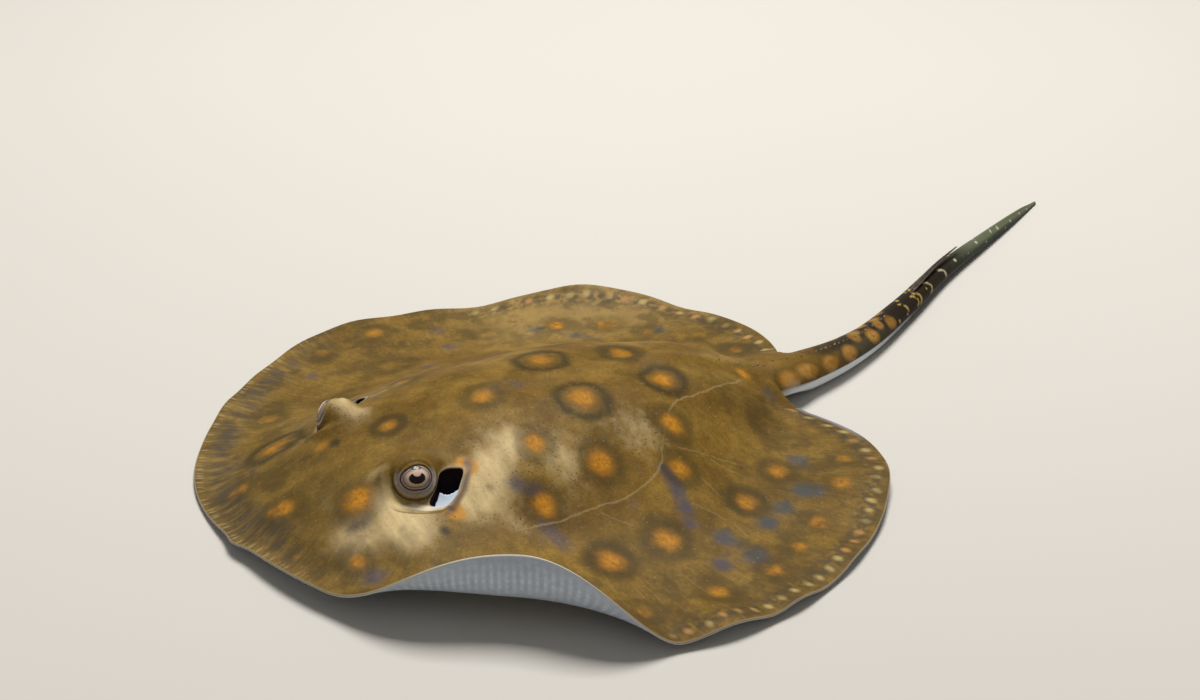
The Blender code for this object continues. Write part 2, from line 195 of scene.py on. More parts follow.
# lid mark, distance from the eye's centre
LID_PROFILE = [
    (0, 4.7), (46, 4.7), (50, 5.55), (54, 5.90), (60, 6.10), (67, 6.00), (71, 5.82), (77, 6.30),
    (86, 6.85), (96, 7.10), (104, 7.35), (180, 7.6)]
SPIRACLE_AWAY, SPIRACLE_DOWN = 11.3, -0.6           # from the eye: straight away, and down along the hole
SPIRACLE_SLANT, SPIRACLE_DEPTH, VALVE_DEPTH = radians(50), 8.0, 2.2
SPIRACLE_HALF_WIDTH, SPIRACLE_HALF_LENGTH, SPIRACLE_SHEAR = 3.5, 6.5, 1.2
CREASE_OUT, CREASE_SLOPE = 39.0, 0.65               # the crease under each eye
GILL_SWELLING = dict(out=41, along=36, width=11, length=24, height=1.4)
EYE_TROUGH = dict(away=7.5, spread=5.0, depth=2.7)  # the hollow outside each eye
LID_HOLD, LID_END = 7.2, 11.5                       # the bulb is the lids' own within, the head's beyond


def head_place(out, along):
    """Flat place of a head feature; out is negative on the right."""
    return (out * cos(HEAD_TURN) - along * sin(HEAD_TURN),
            HEAD_PIVOT + along * cos(HEAD_TURN) + out * sin(HEAD_TURN))


def head_measure(u, v):
    """The reverse: how far out and along the head a flat place is."""
    along, out = v - HEAD_PIVOT, u
    return out * cos(HEAD_TURN) + along * sin(HEAD_TURN), along * cos(HEAD_TURN) - out * sin(HEAD_TURN)


def eye_centre(side):
    x, y = bend(*head_place(side * EYE_OUT, EYE_ALONG))
    return np.array([x, y, EYE_UP])


def gaze(side):
    """Unit vector that the eye looks along, in the posed body."""
    heading = HEAD_TURN - HEAD_PIVOT * TURN
    ahead, aside = cos(GAZE_ASIDE) * cos(GAZE_UP), side * sin(GAZE_ASIDE) * cos(GAZE_UP)
    return np.array([aside * cos(heading) + ahead * sin(heading),
                     aside * sin(heading) - ahead * cos(heading), sin(GAZE_UP)])


def brow(u, v):
    rise = 0.0
    for side in (1, -1):
        at_u, at_v = head_place(side * BROW["out"], BROW["along"])
        across = (u - at_u) * side
        spread = np.where(across > 0, BROW["outer"], BROW["inner"])
        rise = rise + BROW["height"] * gauss(across, spread) * gauss(v - at_v, BROW["length"])
    return rise


def spiracle_shape(u, v, side):
    """0 at the middle of a spiracle's mouth and 1 on its rim; then places across and down it."""
    out, along = head_measure(u, v)
    out, along = side * out - EYE_OUT, along - EYE_ALONG
    across_it = out * sin(SPIRACLE_SLANT) + along * cos(SPIRACLE_SLANT) - SPIRACLE_AWAY
    across_it = across_it / SPIRACLE_HALF_WIDTH
    down_it = out * cos(SPIRACLE_SLANT) - along * sin(SPIRACLE_SLANT) - SPIRACLE_DOWN
    down_it = (down_it + SPIRACLE_SHEAR * across_it) / SPIRACLE_HALF_LENGTH
    across_it = across_it + 0.22 * ease(down_it, 0.2, 0.9)
    return (np.abs(across_it) ** 4 + np.abs(down_it) ** 4) ** 0.25, across_it, down_it


def valve(across_it, down_it):
    """1 on the pale valve that fills the lower part of a spiracle, 0 above its hollow edge."""
    edge = down_it + 0.06 + 0.22 * across_it ** 2 + 0.10 * across_it
    return ease(edge, -0.09, 0.09) * ease(across_it + 0.12 * down_it, -0.68, -0.48)


def under_eye(out, along):
    """Distance outwards from the crease that runs under an eye and its spiracle, and where it reaches."""
    reach = ease(along, -13, -9) * (1 - ease(along, 4, 7))
    return out - CREASE_OUT - CREASE_SLOPE * (along - 1), reach


def head_relief(u, v):
    """Folds and swellings of the head over its plain form, mm."""
    rise = 0.0
    for side in (1, -1):
        shape, across_it, down_it = spiracle_shape(u, v, side)
        depth = SPIRACLE_DEPTH + (VALVE_DEPTH - SPIRACLE_DEPTH) * valve(across_it, down_it)
        rise = rise - depth * ease(1.0 - shape, 0.0, 0.22)
        rise = rise + 1.2 * gauss(shape - 1.35, 0.30) * ease(across_it, 0.2, 0.9) * ease(down_it, -1.2, -0.5)
        rise = rise + 0.4 * gauss(shape - 1.12, 0.12) * ease(-down_it, 0.2, 0.8)
        out, along = head_measure(u, v)
        out = side * out
        from_eye = np.hypot(out - EYE_OUT, along - EYE_ALONG)
        outer_side = ease((0.81 * (out - EYE_OUT) - 0.58 * (along - EYE_ALONG)) / (from_eye + 0.1), -0.1, 0.8)
        trough = EYE_TROUGH["depth"] * gauss(from_eye - EYE_TROUGH["away"], EYE_TROUGH["spread"])
        rise = rise - trough * outer_side
        fold = along + 11.0 + 0.30 * (out - 20)          # groove across the cheek, before the bulb
        rise = rise - 0.4 * gauss(fold, 2.0) * ease(out, 12, 19) * (1 - ease(out, 34, 42))
        rise = rise + 0.3 * gauss(fold - 3.0, 2.4) * ease(out, 12, 19) * (1 - ease(out, 34, 42))
        crease, reach = under_eye(out, along)
        rise = rise + (0.40 * gauss(crease + 1.9, 1.4) - 0.35 * gauss(crease, 1.0)) * reach
        swelling = gauss(out - GILL_SWELLING["out"], GILL_SWELLING["width"])
        swelling = swelling * gauss(along - GILL_SWELLING["along"], GILL_SWELLING["length"])
        rise = rise + GILL_SWELLING["height"] * swelling
    return rise


def lid_frame(side):
    """The gaze, and the directions rearwards and upwards across it."""
    look = gaze(side)
    rearward = side * np.array([-look[1], look[0], 0.0]) / np.hypot(look[0], look[1])
    upward = np.array([0, 0, 1.0]) - look * look[2]
    return look, rearward, upward / np.linalg.norm(upward)


def lids(place, u, v, side):
    """Wraps the skin about one eyeball: two lid folds round the opening, then a bulb that meets the head."""
    out, along = head_measure(u, v)
    out, along = side * out - EYE_OUT, along - EYE_ALONG
    distance = np.hypot(out, along)
    near = distance < LID_STEPS[-1][0]
    out, along, d = out[near], along[near], np.maximum(distance[near], 1e-6)
    rear = (out * cos(GAZE_ASIDE) + along * sin(GAZE_ASIDE)) / d
    up = (along * cos(GAZE_ASIDE) - out * sin(GAZE_ASIDE)) / d
    turn = np.degrees(np.arctan2(up, rear)) % 360
    mark = np.interp(d, *np.array(LID_STEPS, float).T)
    opening, end = smooth_through(LID_OPENING, turn, 360), smooth_through(BULB_END, turn, 360)
    off = np.where(mark < 50, mark / 50 * opening, opening + (mark - 50) / 50 * (end - opening))
    shell = smooth_through(LID_PROFILE, mark)
    look, rearward, upward = lid_frame(side)
    aside = np.radians(off)[:, None]
    direction = look * np.cos(aside) + (rearward * rear[:, None] + upward * up[:, None]) * np.sin(aside)
    wrapped = eye_centre(side) + direction * shell[:, None]
    keep = (1 - ease(d, LID_HOLD, LID_END))[:, None]
    moved = place.copy()
    moved[near] = wrapped * keep + place[near] * (1 - keep)
    lid = np.full(len(place), 180.0)
    lid[near] = mark
    above = np.zeros(len(place))
    above[near] = up
    return moved, lid, above


# ---- Skin: thickness and posing ----------------------------------------------------------------
# Thick over the backbone and the shoulder girdle, thinning to a fin edge of about a millimetre
# that is rounded over.
def sector(angle, soft):
    """1 within the part of the rim that runs on into the tail, easing to 0 outside it."""
    first, last = TAIL_SECTOR
    return ease(angle % 360, first - soft, first) * (1 - ease(angle % 360, last, last + soft))


def thickness(u, v, angle, fraction, inward):
    fin = FIN_EDGE + FIN_ROOT * (1 - fraction) * ease(v, -135, -50)
    across = np.abs(u - spine(v)) / smooth_through(BACK_HALF_WIDTH, v)
    back = BACK_HEIGHT * smooth_through(BACK_PROFILE, v) * np.exp(-across ** 2.8)
    back = back * (1 - (1 - sector(angle, 7)) * (1 - ease(inward, 0, 13)))
    return fin + back + brow(u, v)


def back_relief(u, v, angle, fraction, inward):
    ridge = 0.7 * gauss(u - spine(v), 2.6) * ease(v, -25, 10) * (1 - ease(v, 98, 112))
    groove = -0.5 * gauss(np.abs(u - spine(v)) - 7.5, 3.0) * ease(v, -20, 15) * (1 - ease(v, 85, 105))
    girdle = 0.9 * gauss(v + 6 + 0.004 * u * u, 9) * gauss(u, 34)
    waves = 0.55 * np.sin(np.radians(angle * 15) + 0.05 * inward) * ease(fraction, 0.62, 0.95)
    waves = waves * (1 - sector(angle, 16)) * ease(inward, 0.0, 6.0)
    return ridge + groove + girdle + waves + head_relief(u, v)


def rim_waves(angle, fraction):
    """The loose edge of the rear lobes doesn't lie quite flat."""
    loose = ease(angle, 118, 130) * (1 - ease(angle, 150, 172))
    loose = loose + ease(angle, 205, 222) * (1 - ease(angle, 300, 335))
    return loose * ease(fraction, 0.80, 1.0) * (0.15 + 0.45 * np.sin(np.radians(angle * 14.3 + 40))
                                                + 0.30 * np.sin(np.radians(angle * 31 + 10)))


def pose_disc(u, v, under):
    """Carries flat places of the back (under 0) or the belly (under 1) to where they lie, in mm."""
    angle = np.degrees(np.arctan2(u, -v)) % 360
    rim = radius(angle)
    fraction = np.minimum(np.hypot(u, v) / rim, 1.0)
    inward = (1 - fraction) * rim
    out, up, tilt = belly_sheet(angle, fraction)
    up = up + rim_waves(angle, fraction)
    thick = thickness(u, v, angle, fraction, inward)
    round_over = np.maximum(0.5, 0.42 * thick)
    share = np.sqrt(np.clip(1 - (1 - np.clip(inward / round_over, 0, 1)) ** 2, 0, 1))
    across = np.clip((angle - np.mean(TAIL_SECTOR)) / (0.5 * (TAIL_SECTOR[1] - TAIL_SECTOR[0])), -1, 1)
    share = np.maximum(share, np.sqrt(1 - np.abs(across) ** 3))
    top = thick * (0.5 + 0.5 * share) + back_relief(u, v, angle, fraction, inward)
    bottom = thick * (0.5 - 0.5 * share) + belly_relief(u, v)
    rise = np.where(under > 0.5, bottom, top)
    out = out - np.sin(tilt) * rise
    up = up + np.cos(tilt) * rise
    x, y = bend(out * np.sin(np.radians(angle)), -out * np.cos(np.radians(angle)))
    return np.stack([x, y, up], 1)


# ---- Skin: the underside -----------------------------------------------------------------------
# Pale and smooth, with a small straight mouth behind a fringed flap, a nostril at each end of it,
# five pairs of gill slits and the vent. Everything here is cut into the casting, not laid on it.
MOUTH_ALONG, MOUTH_HALF_WIDTH = -62.0, 8.5
NOSTRIL_OUT, NOSTRIL_ALONG = 9.0, -69.0
GILL_SLITS = [(21.0, -34.0), (24.0, -25.5), (25.0, -17.0), (24.0, -8.5), (21.0, -0.5)]
VENT_ALONG = 84.0


def slit(u, v, at_u, at_v, half_length, half_width, turn=0.0, bow=0.0):
    """1 along the middle of a slit, 0 outside it."""
    a, b = u - at_u, v - at_v
    along, across = a * cos(turn) + b * sin(turn), -a * sin(turn) + b * cos(turn)
    across = across - bow * (along / half_length) ** 2
    return gauss(across, half_width) * (1 - ease(np.abs(along), 0.7 * half_length, half_length))


def belly_relief(u, v):
    depth = 1.8 * slit(u, v, 0, MOUTH_ALONG, MOUTH_HALF_WIDTH, 0.9, bow=-1.2)
    depth = depth + 0.5 * slit(u, v, 0, MOUTH_ALONG - 3.2, MOUTH_HALF_WIDTH, 0.6, bow=-0.4)
    for side in (1, -1):
        depth = depth + 1.4 * slit(u, v, side * NOSTRIL_OUT, NOSTRIL_ALONG, 3.2, 1.0, side * 0.9)
        for out, along in GILL_SLITS:
            depth = depth + 1.0 * slit(u, v, side * out, along, 3.6, 0.5, side * -0.25, 0.6)
    return depth + 1.2 * slit(u, v, float(spine(np.float64(VENT_ALONG))), VENT_ALONG, 4.0, 0.8, pi / 2)


# ---- Skin: the mesh ----------------------------------------------------------------------------
# A wheel of quads laid out flat, finer at the eyes, the spiracles, the mouth and the gills. Back
# and belly meet at the rim, and in the tail's sector their rims run on together as the tail.
SECTOR_COLUMNS, OTHER_COLUMNS, RINGS = 20, 262, 74
RIM_STEPS = (4.2, 2.8, 1.7, 0.9, 0.4, 0.12, 0.0)     # the last rings' distances from the rim, mm
TAIL_STEP, TAIL_BLEND = 0.85, 15.0
TAIL_KEEL, TAIL_CREST = 0.9, 0.5                     # height of the fin fold near the tip, and of the crest


def wheel():
    """The flat wheel as a bmesh, and its rim's vertex numbers."""
    angles = np.concatenate([np.linspace(*TAIL_SECTOR, SECTOR_COLUMNS + 1)[:-1],
                             np.linspace(TAIL_SECTOR[1], TAIL_SECTOR[0] + 360, OTHER_COLUMNS + 1)[:-1]])
    rims = radius(angles % 360)
    flat = bmesh.new()
    rings = [[flat.verts.new((0, 0, 0))] * len(angles)]
    steps = [(rims - RIM_STEPS[0]) * k / RINGS for k in range(1, RINGS)] + [rims - step for step in RIM_STEPS]
    for away in steps:
        rings.append([flat.verts.new((r * np.sin(np.radians(a)), -r * np.cos(np.radians(a)), 0))
                      for a, r in zip(angles, away)])
    for inner, outer in zip(rings, rings[1:]):
        for i in range(len(angles)):
            n = (i + 1) % len(angles)
            corners = [inner[i], outer[i], outer[n], inner[n]]
            flat.faces.new(list(dict.fromkeys(corners)))
    flat.verts.index_update()
    return flat, [vertex.index for vertex in rings[-1]]


def refine(flat, wanted):
    """Cuts the quads whose middle is wanted into four."""
    edges = set()
    for face in flat.faces:
        middle = face.calc_center_median()
        if wanted(middle.x, middle.y):
            edges.update(face.edges)
    bmesh.ops.subdivide_edges(flat, edges=list(edges), cuts=1, use_grid_fill=True)


def near_eyes(margin):
    def wanted(u, v):
        out, along = head_measure(u, v)
        return 14 - margin < abs(out) < 43 + margin and -11 - margin < along < 17 + margin
    return wanted


def near_mouth(u, v):
    return abs(u) < 14 and -74 < v < -57


def near_gills(u, v):
    return 15 < abs(u) < 30 and -38 < v < 4


def flat_arrays(flat):
    flat.verts.index_update()
    places = np.array([vertex.co[:2] for vertex in flat.verts])
    faces = [[vertex.index for vertex in face.verts] for face in flat.faces]
    flat.free()
    return places, faces


back_flat, rim_ids = wheel()
refine(back_flat, near_eyes(2))
refine(back_flat, near_eyes(0))
back_places, back_faces = flat_arrays(back_flat)
belly_flat, _ = wheel()
refine(belly_flat, lambda u, v: near_mouth(u, v) or near_gills(u, v))
refine(belly_flat, near_mouth)
belly_places, belly_faces = flat_arrays(belly_flat)

tail_spans = [np.hypot(b[0] - a[0], b[1] - a[1]) for a, b in zip(TAIL_LINE, TAIL_LINE[1:])]
tail_marks = np.concatenate([[0], np.cumsum(tail_spans)])
TAIL_LENGTH = tail_marks[-1]


def tail_at(mark):
    """Centre line (x, y), half width, half height and heading of the tail at marks along it, mm."""
    def read(where):
        where = np.clip(where, 0, TAIL_LENGTH)
        return [smooth_through(list(zip(tail_marks, [p[k] for p in TAIL_LINE])), where) for k in range(4)]
    x, y, half_width, half_height = read(mark)
    ahead, behind = read(np.asarray(mark) + 2), read(np.asarray(mark) - 2)
    heading = np.stack([ahead[0] - behind[0], ahead[1] - behind[1]], -1)
    heading /= np.linalg.norm(heading, axis=-1, keepdims=True)
    return x, y, half_width, half_height, heading


def tail_section(mark, turn):
    """Points on the tail at a mark, for turns from its left side over its back, in mm."""
    x, y, half_width, half_height, heading = tail_at(mark)
    t = mark / TAIL_LENGTH
    keel = TAIL_KEEL * ease(t, 0.70, 0.78) * (1 - ease(t, 0.93, 1.0))
    crest = TAIL_CREST * (1 - ease(t, 0.40, 0.47))
    across = half_width * np.cos(turn)
    height = half_height * np.sin(turn) + half_height - TAIL_FLAT
    height = height + (keel + crest) * gauss(turn - pi / 2, 0.32)
    return np.stack([x + heading[1] * across, y - heading[0] * across, np.maximum(height, 0)], -1)


PELVIC_FIN = dict(out=19.5, along=98.0, length=12.0, width=9.5, splay=24, thick=2.0)


def pelvic_fin(side, sides=48, rings=9):
    """A rounded paddle flat on the floor under the rear edge: places in mm, faces, and edge distance."""
    splay = side * radians(PELVIC_FIN["splay"])
    places, faces, edge = [], [], []
    for over in (1, -1):
        for k in range(rings) if over > 0 else range(rings - 2, -1, -1):
            share = 1 - (k / (rings - 1)) ** 1.6
            for i in range(sides):
                a = 2 * pi * i / sides
                scallop = 1 - 0.012 * cos(12 * a)
                across = PELVIC_FIN["width"] * (1 + 0.18 * sin(a)) * cos(a) * (1 - share) * scallop
                along = PELVIC_FIN["length"] * sin(a) * (1 - share) * scallop
                u = float(spine(np.float64(PELVIC_FIN["along"]))) + side * PELVIC_FIN["out"]
                u += across * cos(splay) + along * sin(splay)
                v = PELVIC_FIN["along"] - across * sin(splay) + along * cos(splay)
                x, y = bend(u, v)
                dome = PELVIC_FIN["thick"] * (0.5 + 0.5 * over * min(1, share * 6) ** 0.5)
                places.append((x, y, max(dome, 0.0)))
                edge.append((u, v, 1 - share))
    count = len(places)
    for ring in range(count // sides - 1):
        for i in range(sides):
            n = (i + 1) % sides
            faces.append([ring * sides + i, ring * sides + n, (ring + 1) * sides + n, (ring + 1) * sides + i])
    return np.array(places), faces, np.array(edge)


# ---- Skin: the markings ------------------------------------------------------------------------
# Sprayed and hand-dotted colour. Eye-spots stand in loose rows from the spine outwards, slate
# patches lie between them, and pale dots and bars follow the rim all round. Each field below is
# worked out where the skin lies flat, so it runs over back, rim and tail without a join.
# across, along, outer radius in mm, then how orange the middle and how dark the ring
EYE_SPOTS = [
    (17.5, 23, 10.5, 0.85, 1.0), (10.5, 57, 9.0, 0.85, 1.0), (-11, 51, 9.5, 0.6, 0.8),
    (-12, 21.5, 10.5, 0.6, 1.0), (5, -8, 8.5, 0.7, 0.9), (-3, -39, 7.0, 0.6, 0.8),
    (42, 17.5, 9.0, 1.0, 0.5), (50, -8.5, 8.5, 0.95, 0.45), (31.5, -2, 8.0, 0.9, 0.5),
    (31, 50.5, 8.5, 0.9, 0.6), (47, 45.5, 8.0, 0.8, 0.6), (61.5, 64.5, 9.0, 0.8, 0.8),
    (47.5, 84, 8.5, 0.8, 0.6), (73, 26, 10.5, 0.85, 0.9), (76, 2.5, 10.5, 0.9, 0.8),
    (22, -63, 10.0, 1.0, 0.5), (3, -82, 9.5, 0.8, 0.9), (-38.5, -64, 10.5, 0.85, 0.95),
    (-69, -54, 8.0, 0.5, 0.5), (-25, -84, 7.5, 0.6, 0.55), (-108, -19, 7.5, 0.55, 0.45),
    (-113, 2, 7.5, 0.55, 0.5), (-81.5, -3, 10.0, 0.12, 0.45), (42, -75.5, 7.5, 0.75, 0.5),
    (24.5, -88.5, 4.5, 0.45, 0.3), (78.5, 84.5, 8.0, 0.8, 0.3), (89, 70.5, 7.5, 0.75, 0.3),
    (98.5, 54.5, 8.0, 0.75, 0.4), (46, 111, 7.0, 0.6, 0.3), (60.5, 103, 8.0, 0.75, 0.3),
    (-1, 94, 7.0, 0.75, 0.3), (0.2, 110.5, 4.9, 0.95, 0.5), (101.5, 30, 9.0, 0.65, 0.5),
    (103, 0, 8.0, 0.55, 0.4), (22, 93, 9.0, 0.1, 0.5), (26, 109, 6.0, 0.25, 0.3),
    (-87, 58.5, 8.0, 0.85, 0.25), (-79.5, 74.5, 8.0, 0.75, 0.35), (-67.5, 85, 6.0, 0.5, 0.2),
    (-57, 101, 6.0, 0.45, 0.2), (-40, 107.5, 7.0, 0.55, 0.5), (-36, 36, 9.0, 0.45, 0.6),
    (-37, 5, 8.0, 0.35, 0.4), (-33, -20, 7.0, 0.4, 0.4), (-56, 20, 8.0, 0.35, 0.4),
    (-56, -10, 8.0, 0.3, 0.3), (-54, 48, 8.5, 0.4, 0.5), (-34, 66, 8.0, 0.45, 0.5),
    (-61, -34, 8.0, 0.25, 0.3), (-92, 35, 6.5, 0.25, 0.2), (-47, 84, 7.0, 0.35, 0.4),
    (-103, 40, 5.0, 0.25, 0.2)]
PALE_PATCHES = [
    (40.5, -54, 9, 1.05), (36, -22, 9, 0.9), (40, -31, 8, 0.7), (33, 37, 11, 0.35), (34, -71, 7, 0.75),
    (-18, -43.5, 5.5, 0.50), (-23, -48, 4.5, 0.25), (38, 4, 7, 0.35), (-35, -24, 6, 0.25),
    (-44, -50, 8, 0.2), (28, -10, 6, 0.5), (53, -20, 6, 0.3), (25, -56.5, 3.5, 0.55),
    (17.5, -54.5, 3, 0.4), (31, -56, 4.5, 0.55), (31, 10, 15, 0.14), (22, -12, 11, 0.16),
    (48, 3, 13, 0.12), (20, -70, 14, 0.14), (10, -40, 12, 0.10)]
SLATE_PATCHES = [
    (-91, -29, 4.5, 0.7), (-104, 21, 5, 0.6), (-87, 20, 6, 0.6), (3, 5, 4, 0.5), (51, -74, 6, 0.9),
    (41, -15, 4, 0.8), (46, -9, 4, 0.8), (-86, 51, 4.5, 0.9), (-74, 61, 4.5, 0.9), (-66, 89, 4, 1.0),
    (43, 95, 5, 1.0), (60, 86, 4.5, 0.9), (62, 92, 4.5, 1.0), (67.5, 76, 5, 1.0), (73.5, 66, 5, 1.0),
    (89, 53, 6, 1.1), (89, 39, 4.5, 1.0), (77, 47, 5.5, 1.1), (47.5, 40, 3.5, 1.0), (54, 41, 4, 1.0),
    (61, 40, 4, 1.0), (68, 38, 3.5, 0.9), (57, -12, 5, 0.7), (65, -9, 5, 0.7), (31, -65, 4, 0.7),
    (30, -70, 3, 0.7), (21, -54, 2.5, 0.4), (-45, -75, 8, 0.5), (-30, -76, 5, 0.5), (58, 22, 3.5, 0.5),
    (6, 101, 4.5, 0.7), (15, 111, 5, 0.6), (-60, 34, 4, 0.8), (-48, -2, 4, 0.7), (-70, 5, 4.5, 0.7),
    (-44, 20, 3.5, 0.6), (-66, 66, 4, 0.6)]
DUSKY_PATCHES = [
    (44, -62.5, 2.0, 0.5), (40, -57, 2.2, 0.5), (39, -23.5, 2.0, 0.6), (47, -44.5, 2.4, 0.9),
    (22, 93, 5, 0.5), (-9.5, -55.5, 2.8, 0.8), (-13, -66, 4.5, 0.4), (88, 12, 7, 0.3)]
ORANGE_PATCHES = [
    (30.5, -26, 3.0, 1.2), (27.5, -28, 2.2, 0.9), (42.5, -37, 2.8, 1.2), (41.0, -40, 2.2, 1.0),
    (-12.5, -59, 3.4, 0.55), (-31.5, -26, 2.6, 0.25), (-43, -40, 2.6, 0.7)]
# along, across
SIDE_LINE = [
    (-20, 55), (-6, 56), (9, 55), (20, 55), (31, 51.5), (38, 47.5), (46, 36), (54, 26), (70, 20.5),
    (87, 12.5), (94, 8.5), (112, 7)]


def blobs(u, v, patches):
    total = np.zeros(len(u))
    for at_u, at_v, spread, strength in patches:
        total = total + strength * np.exp(-((u - at_u) ** 2 + (v - at_v) ** 2) / spread ** 2)
    return np.clip(total, 0, 1.2)


def nearest_spot(u, v, spots):
    """Distance to the nearest eye-spot in its own radii, and that spot's orange and ring."""
    found = np.full(len(u), 9.0)
    orange, ring = np.zeros(len(u)), np.zeros(len(u))
    for at_u, at_v, size, its_orange, its_ring in spots:
        away = np.hypot(u - at_u, v - at_v) / size
        closer = away < found
        found[closer], orange[closer], ring[closer] = away[closer], its_orange, its_ring
    return np.minimum(found, 2.0), orange, ring


rim_angles = np.arange(0, 360.5, 0.5)
rim_x = radius(rim_angles % 360) * np.sin(np.radians(rim_angles))
rim_y = -radius(rim_angles % 360) * np.cos(np.radians(rim_angles))
rim_marks = np.concatenate([[0], np.cumsum(np.hypot(np.diff(rim_x), np.diff(rim_y)))])


def disc_fields(u, v, under):
    """The painter's guide lines on the disc, as columns of numbers for each named attribute."""
    angle = np.degrees(np.arctan2(u, -v)) % 360
    rim = radius(angle)
    away = np.minimum(np.hypot(u, v), rim)
    mark = np.interp(angle, rim_angles, rim_marks)
    mark = np.where(angle > 180, mark - rim_marks[-1], mark)      # from the snout, negative on the right
    spot, orange, ring = nearest_spot(u, v, EYE_SPOTS)
    line = np.abs(u - spine(v)) - smooth_through(SIDE_LINE, v)
    line = line / np.hypot(1, smooth_through(SIDE_LINE, v + 1) - smooth_through(SIDE_LINE, v))
    lid, hole = np.full(len(u), 180.0), np.tile([3.0, 0.0, 0.0], (len(u), 1))
    fold = np.zeros(len(u))          # the pale fold under each eye, and its dark crease below 0
    for side in (1, -1):
        shape, across_it, down_it = spiracle_shape(u, v, side)
        found = np.stack([shape, across_it, valve(across_it, down_it)], 1)
        hole = np.where(found[:, :1] < hole[:, :1], found, hole)
        out, along = head_measure(u, v)
        crease, reach = under_eye(side * out, along)
        strength = 0.65 + 0.35 * side                # the right side's is fainter
        found = gauss(crease + 1.6, 1.3) * ease(along, -12, -2) - gauss(crease, 0.7)
        fold = fold + found * reach * strength
    hole[under > 0.5] = [3.0, 0.0, 0.0]           # neither spiracle nor fold shows on the underside
    fold[under > 0.5] = 0.0
    runs_on = sector(angle, 4)                    # the rim's own markings stop where the tail begins
    return dict(flat=np.stack([u, v, under * 200], 1),
                rim=np.stack([mark, rim - away + 30 * runs_on, away / rim * (1 - 0.5 * runs_on)], 1),
                spot=np.stack([spot, orange, ring], 1),
                patch=np.stack([blobs(u, v, patches)
                                for patches in (PALE_PATCHES, SLATE_PATCHES, DUSKY_PATCHES)], 1),
                face=np.stack([lid, blobs(u, v, ORANGE_PATCHES), np.zeros(len(u))], 1),
                hole=hole,
                part=np.stack([under, np.zeros(len(u)), line], 1),
                hoop=np.stack([0 * u, 0 * u, fold], 1))


# ---- Skin: put together ------------------------------------------------------------------------
# Back and belly are welded along the rim, and the tail is drawn out of the open part of it.
back = pose_disc(back_places[:, 0], back_places[:, 1], np.zeros(len(back_places)))
back_fields = disc_fields(back_places[:, 0], back_places[:, 1], np.zeros(len(back_places)))
for side in (1, -1):
    back, lid, above = lids(back, back_places[:, 0], back_places[:, 1], side)
    back_fields["face"][:, 0] = np.minimum(back_fields["face"][:, 0], lid)
    back_fields["face"][:, 2] += above
underside = pose_disc(belly_places[:, 0], belly_places[:, 1], np.ones(len(belly_places)))
under_fields = disc_fields(belly_places[:, 0], belly_places[:, 1], np.ones(len(belly_places)))

rim_count = len(rim_ids)
mouth_of_tail = list(range(1, SECTOR_COLUMNS))               # rim columns left open inside the sector
shift = len(back)
welded = {rim_ids[i] + shift: rim_ids[i] for i in range(rim_count) if i not in mouth_of_tail}
for i in range(rim_count):
    if i not in mouth_of_tail:
        meet = 0.5 * (back[rim_ids[i]] + underside[rim_ids[i]])
        back[rim_ids[i]] = meet
        back_fields["part"][rim_ids[i], 0] = 0.5
all_faces = list(back_faces)
for face in belly_faces:
    all_faces.append([welded.get(k + shift, k + shift) for k in reversed(face)])

loop = [rim_ids[i] for i in range(SECTOR_COLUMNS + 1)] + [rim_ids[i] + shift for i in reversed(mouth_of_tail)]
places = np.concatenate([back, underside])
fields = {name: np.concatenate([back_fields[name], under_fields[name]]) for name in back_fields}
root = places[loop]
turns = pi * np.arange(len(loop)) / SECTOR_COLUMNS
root_x, root_y = root[:, 0].mean(), root[:, 1].mean()
fine = np.linspace(0, TAIL_LENGTH, 800)
line_x, line_y = tail_at(fine)[:2]
ROOT_MARK = float(fine[np.argmin(np.hypot(line_x - root_x, line_y - root_y))])
root_u, root_v = fields["flat"][loop, 0], fields["flat"][loop, 1]
# mark along the tail, share of the way round, size in mm, how orange, how dark its ring
TAIL_SPOTS = [
    (18.5, 0.095, 5.1, 0.9, 0.7), (29.5, 0.085, 5.5, 0.9, 0.9), (41, 0.100, 5.5, 0.9, 1.0),
    (50, 0.220, 4.0, 0.7, 0.6), (58.5, 0.130, 4.8, 1.0, 1.0), (66.5, 0.200, 3.4, 0.8, 0.8),
    (73.5, 0.120, 4.4, 0.7, 0.8)]
TAIL_HOOPS = [(86, 0.14, 2.8), (96, 0.12, 2.6), (99, 0.12, 2.8), (110, 0.12, 3.2), (125, 0.08, 3.2)]
TAIL_FLECKS = [
    (58.5, 0.13, 1.0), (79, 0.06, 1.3), (109, 0.13, 0.9), (140, 0.15, 1.3), (143.5, -0.08, 1.2),
    (151, 0.10, 0.7), (158, -0.04, 1.1), (161, 0.18, 1.2), (168, 0.05, 0.8), (175, 0.19, 1.1),
    (181, 0.16, 1.3), (187, 0.02, 0.8), (193, 0.11, 1.0), (203, 0.14, 0.8), (211, 0.10, 0.7)]


